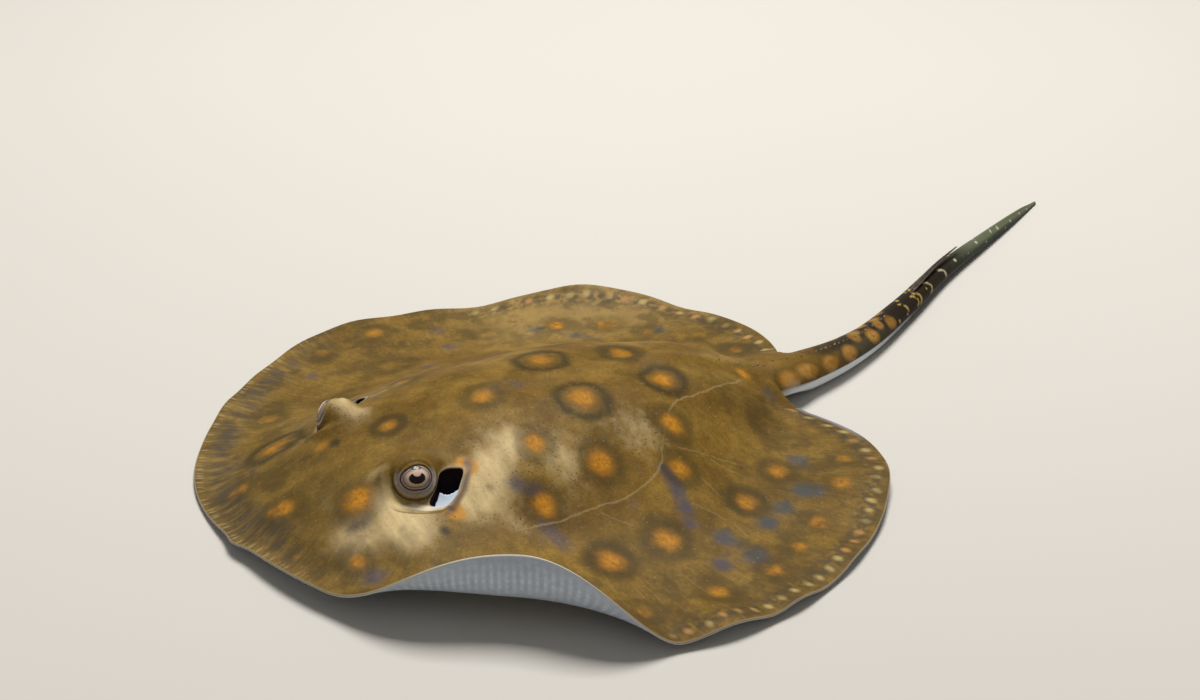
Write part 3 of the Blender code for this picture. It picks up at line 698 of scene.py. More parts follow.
def tail_fields(mark, share):
    """The same guide lines on one ring of the tail; share runs from 0 to 1 down to the tip."""
    under = ease(-np.sin(turns), -0.28, 0.16)
    around = turns / (2 * pi)
    spread = 2 * pi * float(tail_at(mark)[2])
    across, along = root_u * (1 - 0.6 * share), root_v + mark - ROOT_MARK
    found, orange, ring = nearest_spot(across, along, EYE_SPOTS)      # a disc spot may run on over the root
    for at_mark, at_turn, size, its_orange, its_ring in TAIL_SPOTS:
        for turn in (at_turn, 0.5 - at_turn):
            apart = np.abs((around - turn + 0.5) % 1 - 0.5) * spread
            away = np.hypot(mark - at_mark - (2.5 if turn > 0.25 else 0), apart) / size
            closer = away < found
            found[closer], orange[closer], ring[closer] = away[closer], its_orange, its_ring
    blank = np.zeros(len(loop))
    hoop, fleck = np.zeros(len(loop)), np.zeros(len(loop))
    for marks_here, flecks_too in ((TAIL_HOOPS, False), (TAIL_FLECKS, True)):
        for at_mark, at_turn, size in marks_here:
            for turn in (at_turn, 0.5 - at_turn):
                apart = np.abs((around - turn + 0.5) % 1 - 0.5) * spread
                ahead = (mark - at_mark - (2.0 if turn > 0.25 else 0)) / size
                away = np.hypot(ahead, apart / size)
                if flecks_too:
                    fleck = np.maximum(fleck, gauss(away, 0.8))
                else:
                    hoop = np.maximum(hoop, gauss(away - 1, 0.24) * ease(ahead, -0.3, 0.3))
    return dict(flat=np.stack([across, along, under * 200], 1),
                rim=np.stack([blank + rim_marks[-1] / 2 + 20 * np.cos(turns), blank + 30, blank + 0.5], 1),
                spot=np.stack([np.minimum(found, 2.0), orange, ring], 1), patch=np.stack([blank] * 3, 1),
                face=np.stack([blank + 180, blank, blank], 1), hole=np.stack([blank + 3, blank, blank], 1),
                part=np.stack([under, blank + max(mark - ROOT_MARK, 0.01) / 200,
                               200 + 10 * np.sin(turns)], 1),
                hoop=np.stack([hoop, fleck, blank], 1))


tail_places, tail_columns = [], {name: [] for name in fields}
marks = np.arange(ROOT_MARK + TAIL_STEP, TAIL_LENGTH, TAIL_STEP)
heading = tail_at(np.float64(ROOT_MARK))[4]
for mark in marks:
    ring = tail_section(mark, turns)
    drawn = mark - ROOT_MARK
    hold = 1 - ease(drawn, 0, TAIL_BLEND)
    straight = root + np.array([heading[0], heading[1], 0]) * drawn
    tail_places.append(hold * straight + (1 - hold) * ring)
    made = tail_fields(mark, drawn / (TAIL_LENGTH - ROOT_MARK))
    for name in fields:
        tail_columns[name].append(made[name])
tip = np.array([[*(float(k) for k in tail_at(np.float64(TAIL_LENGTH))[:2]), 0.8]])
first = len(places)
ring_starts = [first + k * len(loop) for k in range(len(marks))]
tail_rings = [loop] + [list(range(start, start + len(loop))) for start in ring_starts]
for a, b in zip(tail_rings, tail_rings[1:]):
    for i in range(len(loop)):
        n = (i + 1) % len(loop)
        all_faces.append([a[i], b[i], b[n], a[n]])
tip_id = first + len(marks) * len(loop)
for i in range(len(loop)):
    all_faces.append([tail_rings[-1][i], tip_id, tail_rings[-1][(i + 1) % len(loop)]])
places = np.concatenate([places, *tail_places, tip])
for name in fields:
    fields[name] = np.concatenate([fields[name], *tail_columns[name], tail_columns[name][-1][:1]])

for side in (1, -1):
    fin_places, fin_faces, fin_edge = pelvic_fin(side)
    base = len(places)
    all_faces += [[k + base for k in face] for face in fin_faces]
    made = disc_fields(fin_edge[:, 0], fin_edge[:, 1], np.ones(len(fin_edge)))
    made["part"][:, 0] = np.where(fin_places[:, 2] > 1.0, 0.6, 1.0)
    places = np.concatenate([places, fin_places])
    for name in fields:
        fields[name] = np.concatenate([fields[name], made[name]])


def closed_piece(name, places, faces, guides):
    """A closed smooth piece from places in mm, its guide lines kept as named attributes."""
    mesh = bpy.data.meshes.new(name)
    mesh.from_pydata((np.array(places) * MM).tolist(), [], faces)
    for guide_name, columns in guides.items():
        attribute = mesh.attributes.new(guide_name, "FLOAT_VECTOR", "POINT")
        attribute.data.foreach_set("vector", np.array(columns, np.float32).ravel())
    shell = bmesh.new()
    shell.from_mesh(mesh)
    bmesh.ops.delete(shell, geom=[v for v in shell.verts if not v.link_faces], context="VERTS")
    bmesh.ops.remove_doubles(shell, verts=shell.verts, dist=1e-6)
    bmesh.ops.recalc_face_normals(shell, faces=shell.faces)
    shell.to_mesh(mesh)
    shell.free()
    mesh.shade_smooth()
    return placed(name, mesh)


skin = closed_piece("skin", places, all_faces, fields)
FLESH = ("head", "trunk", "pectoral_fin_left_front", "pectoral_fin_left_rear",
         "pectoral_fin_right_front", "pectoral_fin_right_rear", "pelvic_fin_left", "pelvic_fin_right",
         "tail_base", "tail_middle", "tail_tip")
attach(skin, "root")
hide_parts(*FLESH)


# ---- Skin: the colours -------------------------------------------------------------------------
# Thin glazes over an olive ground. The guide lines above say where; noise laid in millimetres
# breaks every edge up, as short brush strokes do.
def add(tree, kind, *inputs, **settings):
    """A node with its settings by name and its first inputs in order: numbers, or other nodes' outputs."""
    made = tree.nodes.new("ShaderNode" + kind)
    for name, value in settings.items():
        setattr(made, name, value)
    for socket, value in zip(made.inputs, inputs):
        if isinstance(value, bpy.types.NodeSocket):
            tree.links.new(value, socket)
        elif value is not None:
            socket.default_value = value
    return made


def work(tree, operation, *inputs):
    return add(tree, "Math", *inputs, operation=operation).outputs[0]


def step(tree, value, low, high, at_low=0.0, at_high=1.0):
    """Eases from one value to another between two marks."""
    made = add(tree, "MapRange", value, low, high, at_low, at_high, interpolation_type="SMOOTHSTEP")
    return made.outputs[0]


def peak(tree, value, middle, half_width):
    """1 at the middle, easing to 0 on both sides."""
    apart = work(tree, "ABSOLUTE", work(tree, "SUBTRACT", value, middle))
    return step(tree, apart, 0.0, half_width, 1.0, 0.0)


def glaze(tree, amount, under, over):
    """Lays one colour over another."""
    made = tree.nodes.new("ShaderNodeMix")
    made.data_type = "RGBA"
    for socket, value in ((made.inputs[0], amount), (made.inputs[6], under), (made.inputs[7], over)):
        if isinstance(value, bpy.types.NodeSocket):
            tree.links.new(value, socket)
        else:
            socket.default_value = value if isinstance(value, float) else (*value, 1.0)
    return made.outputs[2]


def shaded(tree, colour, low, high, amount):
    """Darkens or lightens a colour by a factor from low to high, as the noise swings."""
    factor = add(tree, "MapRange", amount, 0.3, 0.7, low, high).outputs[0]
    return add(tree, "VectorMath", colour, factor, operation="MULTIPLY").outputs[0]


def guide(tree, name):
    """The three columns of one guide attribute, and all three as a vector."""
    made = add(tree, "Attribute", attribute_type="GEOMETRY", attribute_name=name)
    parts = add(tree, "SeparateXYZ", made.outputs["Vector"])
    return (*parts.outputs, made.outputs["Vector"])


def grain_group():
    """Soft irregular grain for every material: where it is read, its size there, and its character."""
    group = bpy.data.node_groups.new("grain", "ShaderNodeTree")
    group.interface.new_socket("Place", in_out="INPUT", socket_type="NodeSocketVector")
    group.interface.new_socket("Stretch", in_out="INPUT", socket_type="NodeSocketVector")
    for name in ("Size", "Detail", "Roughness", "Distortion"):
        group.interface.new_socket(name, in_out="INPUT", socket_type="NodeSocketFloat")
    group.interface.new_socket("Amount", in_out="OUTPUT", socket_type="NodeSocketFloat")
    source, result = group.nodes.new("NodeGroupInput"), group.nodes.new("NodeGroupOutput")
    place = add(group, "VectorMath", source.outputs["Place"], source.outputs["Stretch"], operation="MULTIPLY")
    scale = work(group, "DIVIDE", 1.0, source.outputs["Size"])
    noise = add(group, "TexNoise", place.outputs[0], None, scale, source.outputs["Detail"],
                source.outputs["Roughness"])
    group.links.new(source.outputs["Distortion"], noise.inputs["Distortion"])
    group.links.new(noise.outputs[0], result.inputs["Amount"])
    return group


grain_nodes = grain_group()


def clouds(tree, place, size, detail=2.0, roughness=0.5, distortion=0.0, stretch=(1.0, 1.0, 1.0)):
    """The grain, with features about this many mm across."""
    made = tree.nodes.new("ShaderNodeGroup")
    made.node_tree = grain_nodes
    tree.links.new(place, made.inputs["Place"])
    for name, value in (("Stretch", stretch), ("Size", size), ("Detail", detail), ("Roughness", roughness),
                        ("Distortion", distortion)):
        made.inputs[name].default_value = value
    return made.outputs["Amount"]


def dots(tree, place, spacing, size, soft, randomness=1.0):
    """1 in scattered round dots of a size in mm."""
    made = add(tree, "TexVoronoi", place, feature="F1")
    made.inputs["Scale"].default_value = 1.0 / spacing
    made.inputs["Randomness"].default_value = randomness
    return step(tree, made.outputs["Distance"], (size - soft) / spacing, (size + soft) / spacing, 1.0, 0.0)


def times(tree, *values):
    result = values[0]
    for value in values[1:]:
        result = work(tree, "MULTIPLY", result, value)
    return result


def rough(tree, value, noise, amount):
    """Moves a mask's value by the swing of a noise, so that its edge wanders."""
    return work(tree, "ADD", value, work(tree, "MULTIPLY", work(tree, "SUBTRACT", noise, 0.5), amount))


def in_mm(tree):
    """The place on the model in mm."""
    place = add(tree, "TexCoord").outputs["Object"]
    return add(tree, "VectorMath", place, (1000.0, 1000.0, 1000.0), operation="MULTIPLY").outputs[0]


def new_material(name, roughness, specular=0.5):
    """A material with its gloss set, its node tree and its surface shader."""
    made = bpy.data.materials.new(name)
    made.use_nodes = True
    surface = made.node_tree.nodes["Principled BSDF"]
    surface.inputs["Roughness"].default_value = roughness
    surface.inputs["Specular IOR Level"].default_value = specular
    return made, made.node_tree, surface


def relief(tree, surface, amount, strength, height):
    """Fine relief on a surface as a bump."""
    bump = add(tree, "Bump", strength, height)
    tree.links.new(amount, bump.inputs["Height"])
    tree.links.new(bump.outputs[0], surface.inputs["Normal"])


skin_material, s, skin_surface = new_material("skin", 0.52, 0.06)
flat_u, flat_v, _, flat = guide(s, "flat")
rim_mark, rim_in, rim_share, _ = guide(s, "rim")
spot_away, spot_orange, spot_ring, _ = guide(s, "spot")
pale, slate, dusky, _ = guide(s, "patch")
lid_mark, orange_patch, lid_above, _ = guide(s, "face")
spiracle, hole_across, valve_here, _ = guide(s, "hole")
under, tail_mark, side_line, _ = guide(s, "part")
hoop, fleck, fold, _ = guide(s, "hoop")
body = in_mm(s)
rough_edge = clouds(s, body, 4.5, 3.0, 0.6)
streak_place = add(s, "CombineXYZ", rim_mark, rim_in, 0.0).outputs[0]
streaks = clouds(s, streak_place, 1.5, 3.0, 0.55, 0.4, (1.0, 0.07, 1.0))
on_fin = times(s, step(s, rim_share, 0.52, 0.80), step(s, tail_mark, 0.0, 0.02, 1.0, 0.0))

# The disc's colours, as linear red, green and blue.
OLIVE = (0.126, 0.069, 0.011)
WARM_OLIVE = (0.222, 0.131, 0.024)
HEAD_OLIVE = (0.190, 0.122, 0.032)
FIN_OLIVE = (0.150, 0.094, 0.024)
CLOUD_BROWN = (0.068, 0.044, 0.008)
RAY_PALE = (0.330, 0.250, 0.110)
RAY_DARK = (0.080, 0.055, 0.022)
# painted highlight, not the skin's own colour: golden light on the right rear lobe
GOLD_PAINTED_HIGHLIGHT = (0.420, 0.290, 0.110)
CREAM = (0.620, 0.475, 0.245)
SLATE_VIOLET = (0.072, 0.062, 0.088)
SLATE_TEAL = (0.052, 0.066, 0.078)
DUSK = (0.035, 0.026, 0.018)
ORANGE = (0.540, 0.255, 0.034)
RING_BROWN = (0.042, 0.030, 0.010)
AMBER_DEEP = (0.350, 0.140, 0.010)
AMBER_BRIGHT = (0.500, 0.225, 0.020)
AMBER_HEART = (0.250, 0.105, 0.012)
THREAD_PALE = (0.380, 0.280, 0.140)
PEPPER_BROWN = (0.030, 0.020, 0.010)
GRAIN_PALE = (0.480, 0.370, 0.180)
MARGIN_DARK = (0.046, 0.041, 0.030)
DOT_STRAW = (0.420, 0.320, 0.125)
DOT_ORANGE = (0.400, 0.200, 0.070)
SIDE_BROWN = (0.076, 0.050, 0.018)
STREAK_DARK = (0.064, 0.058, 0.052)
STREAK_OLIVE = (0.260, 0.190, 0.080)
COMB_PALE = (0.380, 0.310, 0.180)
RIM_PALE = (0.440, 0.370, 0.270)
STRIP_BLUE = (0.240, 0.235, 0.290)

# Ground: olive brown in soft clouds, a yellower grain over them, fine rays out to the rim.
ground_clouds = step(s, clouds(s, flat, 24, 3.0, 0.55), 0.33, 0.68)
ground = glaze(s, ground_clouds, OLIVE, WARM_OLIVE)
ground = glaze(s, times(s, step(s, flat_v, -20.0, -60.0), 0.35), ground, HEAD_OLIVE)
ground = glaze(s, times(s, on_fin, 0.30), ground, FIN_OLIVE)
ground = shaded(s, ground, 0.78, 1.20, clouds(s, body, 1.1, 4.0, 0.75))
dark_clouds = step(s, clouds(s, body, 9.0, 3.0, 0.6), 0.50, 0.68, 0.0, 0.36)
ground = glaze(s, dark_clouds, ground, CLOUD_BROWN)
ground = shaded(s, ground, 0.84, 1.15, clouds(s, body, 5.0, 3.0, 0.6))
ray = step(s, streaks, 0.52, 0.72)
ground = glaze(s, times(s, ray, on_fin, 0.20), ground, RAY_PALE)
ground = glaze(s, times(s, step(s, streaks, 0.48, 0.30), on_fin, 0.30), ground, RAY_DARK)

# A painted highlight: golden light laid over the right rear lobe, where its raised wave catches the light.
far_lobe_highlight = times(s, step(s, flat_u, -55.0, -90.0), step(s, flat_v, 20.0, 50.0))
ground = glaze(s, times(s, far_lobe_highlight, 0.40), ground, GOLD_PAINTED_HIGHLIGHT)

# Pale cheeks and gill covers, slate and dusky patches, orange by the spiracles.
pale_edge = rough(s, pale, rough_edge, 0.6)
cream = shaded(s, CREAM, 0.80, 1.14, clouds(s, flat, 3.2, 3.0, 0.6, 0.0, (0.35, 1.0, 1.0)))
ground = glaze(s, times(s, step(s, pale_edge, 0.04, 0.88), 0.94), ground, cream)
slate_edge = rough(s, slate, rough_edge, 0.9)
slate_colour = glaze(s, step(s, flat_v, 30.0, 60.0), SLATE_VIOLET, SLATE_TEAL)
ground = glaze(s, times(s, step(s, slate_edge, 0.20, 1.05), 0.85), ground, slate_colour)
dusky_edge = rough(s, dusky, rough_edge, 0.5)
ground = glaze(s, step(s, dusky_edge, 0.15, 0.85, 0.0, 0.85), ground, DUSK)
orange_edge = rough(s, orange_patch, rough_edge, 0.5)
ground = glaze(s, step(s, orange_edge, 0.12, 1.00, 0.0, 0.90), ground, ORANGE)

# Eye-spots: an orange middle, a band of ground colour and a dark ring that melts away outwards.
spot = rough(s, spot_away, rough_edge, 0.34)
spot = rough(s, spot, clouds(s, body, 1.3, 2.0, 0.6), 0.10)
band = times(s, step(s, spot, 0.28, 0.55), step(s, spot, 0.74, 1.20, 1.0, 0.0), spot_ring)
ringed = step(s, spot_ring, 0.84, 0.96)
band = work(s, "MULTIPLY", band, work(s, "SUBTRACT", 1.0, times(s, ringed, 0.6)))
broken = step(s, clouds(s, body, 3.5, 2.0, 0.6), 0.25, 0.45, 0.5, 1.0)
loop_ring = times(s, peak(s, spot, 0.82, 0.40), ringed, broken)
band = work(s, "MAXIMUM", band, loop_ring)
ground = glaze(s, times(s, band, 0.84), ground, RING_BROWN)
amber_clouds = step(s, clouds(s, body, 1.6, 2.0, 0.6), 0.30, 0.70)
amber = glaze(s, amber_clouds, AMBER_DEEP, AMBER_BRIGHT)
core = work(s, "SUBTRACT", spot, times(s, spot_orange, 0.27))
amber = glaze(s, step(s, core, -0.10, 0.34), amber, AMBER_HEART)
ground = glaze(s, times(s, step(s, core, -0.04, 0.46, 1.0, 0.0), spot_orange), ground, amber)

# Side line: a fine pale thread along each side of the back.
wiggle = times(s, work(s, "SUBTRACT", rough_edge, 0.5), 2.2)
faint_stretch = work(s, "SUBTRACT", 1.0, times(s, peak(s, flat_v, 47.0, 10.0), 0.8))
thread = times(s, peak(s, work(s, "ADD", side_line, wiggle), 0.0, 0.60),
               step(s, flat_v, -26.0, -14.0), step(s, flat_v, 93.0, 88.0), faint_stretch)
CANALS = [
    (39, 47, 44, 75), (42, 59, 50, 72), (49, 52, 60, 57), (59, 43, 70, 54), (70, 54, 82, 56),
    (56, 8, 66, 20)]
for from_u, from_v, to_u, to_v in CANALS:         # its fine branches out over the fin
    length = float(np.hypot(to_u - from_u, to_v - from_v))
    along_u, along_v = (to_u - from_u) / length, (to_v - from_v) / length
    branch_u = work(s, "SUBTRACT", work(s, "ABSOLUTE", flat_u), from_u)
    branch_v = work(s, "SUBTRACT", flat_v, from_v)
    aside = work(s, "SUBTRACT", times(s, branch_u, along_v), times(s, branch_v, along_u))
    forth = work(s, "ADD", times(s, branch_u, along_u), times(s, branch_v, along_v))
    branch = times(s, peak(s, work(s, "ADD", aside, wiggle), 0.0, 0.50), step(s, forth, 0.0, 2.0),
                   step(s, forth, length, length - 5.0), 0.55)
    thread = work(s, "MAXIMUM", thread, branch)
ground = glaze(s, times(s, thread, 0.42), ground, THREAD_PALE)

# Pepper of tiny dark dots, thickest where the pale patches fade out; a few light grains.
pepper_here = work(s, "MAXIMUM", peak(s, pale_edge, 0.28, 0.42), 0.42)
pepper = times(s, dots(s, body, 1.25, 0.24, 0.17), step(s, clouds(s, flat, 7.0), 0.40, 0.54), pepper_here,
               step(s, rim_share, 0.80, 0.60))
ground = glaze(s, times(s, pepper, 0.85), ground, PEPPER_BROWN)
ground = glaze(s, times(s, dots(s, body, 3.4, 0.30, 0.25), 0.22), ground, GRAIN_PALE)

# The margin: pale dots and short bars just inside the rim, dark between and behind them.
def along_rim(tree, spacing, inset, length, half_width, scatter):
    """Pale marks in a row inside the rim: the distance from the nearest mark in its own sizes; also the
    mark's own random number.
    """
    count = work(tree, "DIVIDE", rim_mark, spacing)
    number = work(tree, "FLOOR", count)
    chance = add(tree, "TexWhiteNoise", None, number, noise_dimensions="1D").outputs
    pieces = add(tree, "SeparateXYZ", chance["Color"]).outputs
    offset = work(tree, "SUBTRACT", work(tree, "SUBTRACT", count, number), 0.5)
    sway = work(tree, "MULTIPLY", work(tree, "SUBTRACT", pieces[0], 0.5), scatter / spacing)
    sideways = work(tree, "DIVIDE", times(tree, work(tree, "ADD", offset, sway), spacing), half_width)
    depth = work(tree, "ADD", inset, work(tree, "MULTIPLY", work(tree, "SUBTRACT", pieces[1], 0.5), scatter))
    inwards = work(tree, "DIVIDE", work(tree, "SUBTRACT", rim_in, depth), length)
    away = add(tree, "VectorMath", add(tree, "CombineXYZ", sideways, inwards, 0.0).outputs[0],
               operation="LENGTH").outputs["Value"]
    return away, pieces[2]


off_tail = times(s, step(s, work(s, "ABSOLUTE", work(s, "SUBTRACT", rim_mark, 395.0)), 14.0, 30.0),
                 step(s, work(s, "ABSOLUTE", work(s, "ADD", rim_mark, 367.0)), 14.0, 26.0),
                 step(s, tail_mark, 0.0, 0.01, 1.0, 0.0))
rear = times(s, work(s, "ADD", step(s, rim_mark, 160.0, 180.0), step(s, rim_mark, -200.0, -225.0)), off_tail)
front = work(s, "SUBTRACT", 1.0, step(s, work(s, "ABSOLUTE", work(s, "ADD", rim_mark, 60.0)), 70.0, 110.0))
away, chance = along_rim(s, 7.0, 4.9, 2.1, 1.6, 1.9)
smudge = step(s, clouds(s, streak_place, 3.0, 2.0, 0.5), 0.36, 0.60)
smudge = times(s, peak(s, rim_in, 6.0, 7.5), smudge, rear)
ground = glaze(s, times(s, smudge, 0.70), ground, MARGIN_DARK)
dot_colour = glaze(s, step(s, chance, 0.45, 0.75), DOT_STRAW, DOT_ORANGE)
ground = glaze(s, times(s, step(s, away, 0.20, 1.35, 1.0, 0.0), rear, 0.82), ground, dot_colour)
comb = clouds(s, streak_place, 1.5, 1.0, 0.5, 0.2, (1.0, 0.10, 1.0))
sides = times(s, step(s, rim_share, 0.45, 0.90), step(s, clouds(s, body, 9.0, 3.0, 0.6), 0.44, 0.62), 0.55)
ground = glaze(s, times(s, sides, off_tail), ground, SIDE_BROWN)
brushed = clouds(s, streak_place, 2.1, 2.0, 0.5, 0.4, (1.0, 0.14, 1.0))
ground = glaze(s, times(s, peak(s, rim_in, 8.0, 8.5), step(s, brushed, 0.36, 0.58), front, 0.58), ground,
               STREAK_DARK)
ground = glaze(s, times(s, step(s, brushed, 0.50, 0.38), peak(s, rim_in, 6.0, 6.0), front, 0.26), ground,
               STREAK_OLIVE)
ground = glaze(s, times(s, step(s, comb, 0.50, 0.62), peak(s, rim_in, 1.5, 2.4), front, 0.45), ground,
               COMB_PALE)
ground = glaze(s, step(s, rim_in, 0.12, 0.55, 0.65, 0.0), ground, RIM_PALE)
strip = times(s, peak(s, rim_in, 0.6, 2.6), step(s, rim_mark, 335.0, 352.0))
ground = glaze(s, times(s, strip, 0.8), ground, STRIP_BLUE)

# Tail: orange discs at first, then yellow hoops on near black, a slate tip with pale flecks.
tail_mm = times(s, tail_mark, 200.0)
tail_up = work(s, "DIVIDE", work(s, "SUBTRACT", side_line, 200.0), 10.0)
tail_edge = rough(s, tail_mm, rough_edge, 26.0)
tail_olive = glaze(s, 0.55, ground, (0.120, 0.068, 0.014))
tail_dark = glaze(s, step(s, tail_edge, 45.0, 75.0), (0.060, 0.050, 0.028), (0.020, 0.014, 0.008))
tail_dark = glaze(s, step(s, tail_edge, 112.0, 160.0), tail_dark, (0.052, 0.064, 0.044))
slate_back = times(s, step(s, tail_up, 0.2, 0.9), step(s, tail_mm, 130.0, 165.0))
tail_tip = work(s, "MAXIMUM", step(s, tail_mm, 172.0, 205.0), slate_back)
tail_dark = glaze(s, times(s, tail_tip, 0.8), tail_dark, (0.150, 0.160, 0.095))
tail_ground = glaze(s, step(s, tail_edge, 20.0, 42.0), tail_olive, tail_dark)
back_ridge = times(s, step(s, tail_up, 0.80, 0.98), step(s, tail_edge, 10.0, 30.0),
                   step(s, tail_mm, 150.0, 120.0))
tail_ground = glaze(s, times(s, back_ridge, 0.75), tail_ground, (0.018, 0.012, 0.008))
disc_edge = rough(s, spot, rough_edge, 0.3)
disc_colour = glaze(s, step(s, rough_edge, 0.35, 0.65), (0.250, 0.120, 0.020), (0.370, 0.200, 0.048))
disc_colour = glaze(s, times(s, step(s, tail_up, 0.35, -0.05), 0.6), disc_colour, (0.560, 0.480, 0.330))
disc_here = times(s, step(s, disc_edge, 0.42, 0.95, 1.0, 0.0), spot_orange)
tail_ground = glaze(s, disc_here, tail_ground, disc_colour)
fleck_colour = glaze(s, step(s, tail_mm, 95.0, 135.0), (0.360, 0.250, 0.070), (0.440, 0.450, 0.340))
hoop_rough = times(s, hoop, step(s, clouds(s, body, 2.0, 2.0, 0.6), 0.30, 0.52))
tail_ground = glaze(s, step(s, hoop_rough, 0.12, 0.75, 0.0, 0.9), tail_ground, fleck_colour)
dark_eye = times(s, fleck, step(s, tail_mm, 62.0, 56.0))
pale_fleck = times(s, step(s, fleck, 0.30, 0.75), step(s, tail_mm, 62.0, 70.0), 0.9)
tail_ground = glaze(s, pale_fleck, tail_ground, fleck_colour)
tail_ground = glaze(s, step(s, dark_eye, 0.3, 0.8, 0.0, 0.8), tail_ground, (0.110, 0.060, 0.012))
back_colour = glaze(s, step(s, tail_mark, 0.0, 0.03), ground, tail_ground)

# Underside: creamy white, blue-grey towards the rim and ribbed crosswise by the fin's rays.
RIB_SPACING, RUNG_SPACING = 2.9, 2.6
ribs = work(s, "SINE", times(s, rim_mark, 2.0 * pi / RIB_SPACING))
rungs = work(s, "SINE", times(s, rim_in, 2.0 * pi / RUNG_SPACING))
belly_clouds = step(s, clouds(s, flat, 14, 3.0, 0.6), 0.35, 0.70)
belly = glaze(s, belly_clouds, (0.560, 0.530, 0.480), (0.640, 0.590, 0.500))
belly = glaze(s, step(s, rim_in, 34.0, 12.0, 0.0, 0.92), belly, (0.470, 0.535, 0.630))
ladder = times(s, step(s, ribs, -0.5, 0.7), step(s, rungs, -0.6, 0.6, 0.65, 1.0),
               peak(s, rim_in, 8.0, 9.0))
belly = glaze(s, times(s, ladder, 0.60), belly, (0.720, 0.775, 0.850))
belly = shaded(s, belly, 0.90, 1.08, clouds(s, body, 2.0, 3.0, 0.6))
belly = glaze(s, step(s, rim_in, 0.2, 1.2, 0.7, 0.0), belly, (0.560, 0.520, 0.430))
tail_belly = glaze(s, step(s, tail_edge, 35.0, 95.0), (0.680, 0.720, 0.760), (0.050, 0.054, 0.054))
belly = glaze(s, step(s, tail_mark, 0.0, 0.03), belly, tail_belly)
colour = glaze(s, step(s, under, 0.35, 0.65), back_colour, belly)

# Lids and spiracles: lilac-grey lid rings with a dark thread between, a maroon-black throat that is
# painted shade down each spiracle's deep hollow, painted shade on the wall behind it, its bluish-white valve
# and a pale thin edge.
lid_colour = glaze(s, step(s, lid_mark, 66.0, 76.0), (0.360, 0.310, 0.315), (0.400, 0.340, 0.270))
lid_colour = shaded(s, lid_colour, 0.80, 1.15, clouds(s, body, 0.9, 3.0, 0.6))
lid_colour = glaze(s, times(s, peak(s, lid_mark, 69.5, 4.0), 0.8), lid_colour, (0.055, 0.040, 0.034))
lid_colour = glaze(s, times(s, step(s, lid_mark, 54.0, 50.0), 0.9), lid_colour, (0.030, 0.020, 0.018))
olive_lid = shaded(s, (0.190, 0.135, 0.060), 0.80, 1.15, clouds(s, body, 0.9, 3.0, 0.6))
upper = times(s, step(s, lid_above, 0.1, 0.8), step(s, lid_mark, 56.0, 64.0))
lid_colour = glaze(s, times(s, upper, 0.75), lid_colour, olive_lid)
lid_below = step(s, lid_above, 0.75, 0.15)
colour = glaze(s, times(s, step(s, lid_mark, 82.0, 92.0, 0.85, 0.0), lid_below), colour, lid_colour)
colour = glaze(s, times(s, step(s, lid_mark, 56.0, 50.0), 0.8), colour, (0.045, 0.030, 0.020))
# Painted shadow along the crease where each eye's bulb meets the head below it.
crease = times(s, peak(s, lid_mark, 101.0, 9.0), step(s, lid_above, 0.1, -0.4))
colour = glaze(s, times(s, crease, 0.75), colour, (0.045, 0.030, 0.016))
colour = glaze(s, step(s, fold, 0.15, 0.75, 0.0, 0.90), colour, (0.740, 0.650, 0.480))
colour = glaze(s, step(s, fold, -0.20, -0.85, 0.0, 0.60), colour, (0.080, 0.056, 0.030))
# Painted shade on the wall behind each spiracle, where the skin dips in before its rear rim.
rear_wall_shade = times(s, peak(s, spiracle, 1.42, 0.52), step(s, hole_across, 0.3, 0.9))
colour = glaze(s, times(s, rear_wall_shade, 0.90), colour, (0.185, 0.135, 0.105))
colour = glaze(s, times(s, peak(s, spiracle, 1.09, 0.11), 0.50), colour, (0.500, 0.420, 0.310))
# Painted shade: the spiracle's walls and floor go maroon-black for the shade of its deep hollow, all but the
# pale valve.
colour = glaze(s, step(s, spiracle, 1.05, 1.00), colour,
               glaze(s, valve_here, (0.010, 0.004, 0.005), (0.520, 0.600, 0.700)))

s.links.new(colour, skin_surface.inputs["Base Color"])
grain = work(s, "ADD", times(s, clouds(s, body, 1.6, 4.0, 0.65), 0.7), times(s, streaks, on_fin, 0.5))
relief(s, skin_surface, grain, 0.5, 0.00035)
skin.data.materials.append(skin_material)


# ---- Eyes --------------------------------------------------------------------------------------
# Hand-painted glass eyes: a ball with a slight corneal bulge, a pinkish iris flecked with gold and
# a crescent pupil, over whose top a pale flap of the iris hangs.
def eyeball(name, side):
    look, rearward, upward = lid_frame(side)
    centre = eye_centre(side)
    rows, columns, cornea_bulge, lid_gap = 60, 96, 0.30, 0.03
    places, faces, seen = [], [], []
    for r in range(rows + 1):
        off = pi * r / rows
        for c in range(columns):
            turn = 2 * pi * c / columns
            direction = look * cos(off) + (rearward * cos(turn) + upward * sin(turn)) * sin(off)
            size = EYE_RADIUS + cornea_bulge * gauss(np.degrees(off), 40) - lid_gap
            places.append(centre + direction * size)
            opening = float(smooth_through(LID_OPENING, np.degrees(turn), 360))
            seen.append((EYE_RADIUS * sin(off) * cos(turn), EYE_RADIUS * sin(off) * sin(turn),
                         np.degrees(off) / opening * 50))
    for r in range(rows):
        for c in range(columns):
            n = (c + 1) % columns
            faces.append((r * columns + c, (r + 1) * columns + c, (r + 1) * columns + n, r * columns + n))
    eye = closed_piece(name, places, faces, dict(seen=seen))
    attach(eye, "root")
    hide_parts(name)
    eye.data.materials.append(eye_material)


eye_material, e, eye_surface = new_material("eye", 0.16, 0.22)
rearwards, upwards, opening_mark, seen = guide(e, "seen")
ripple = work(e, "SUBTRACT", clouds(e, seen, 1.2, 2.0, 0.5), 0.5)


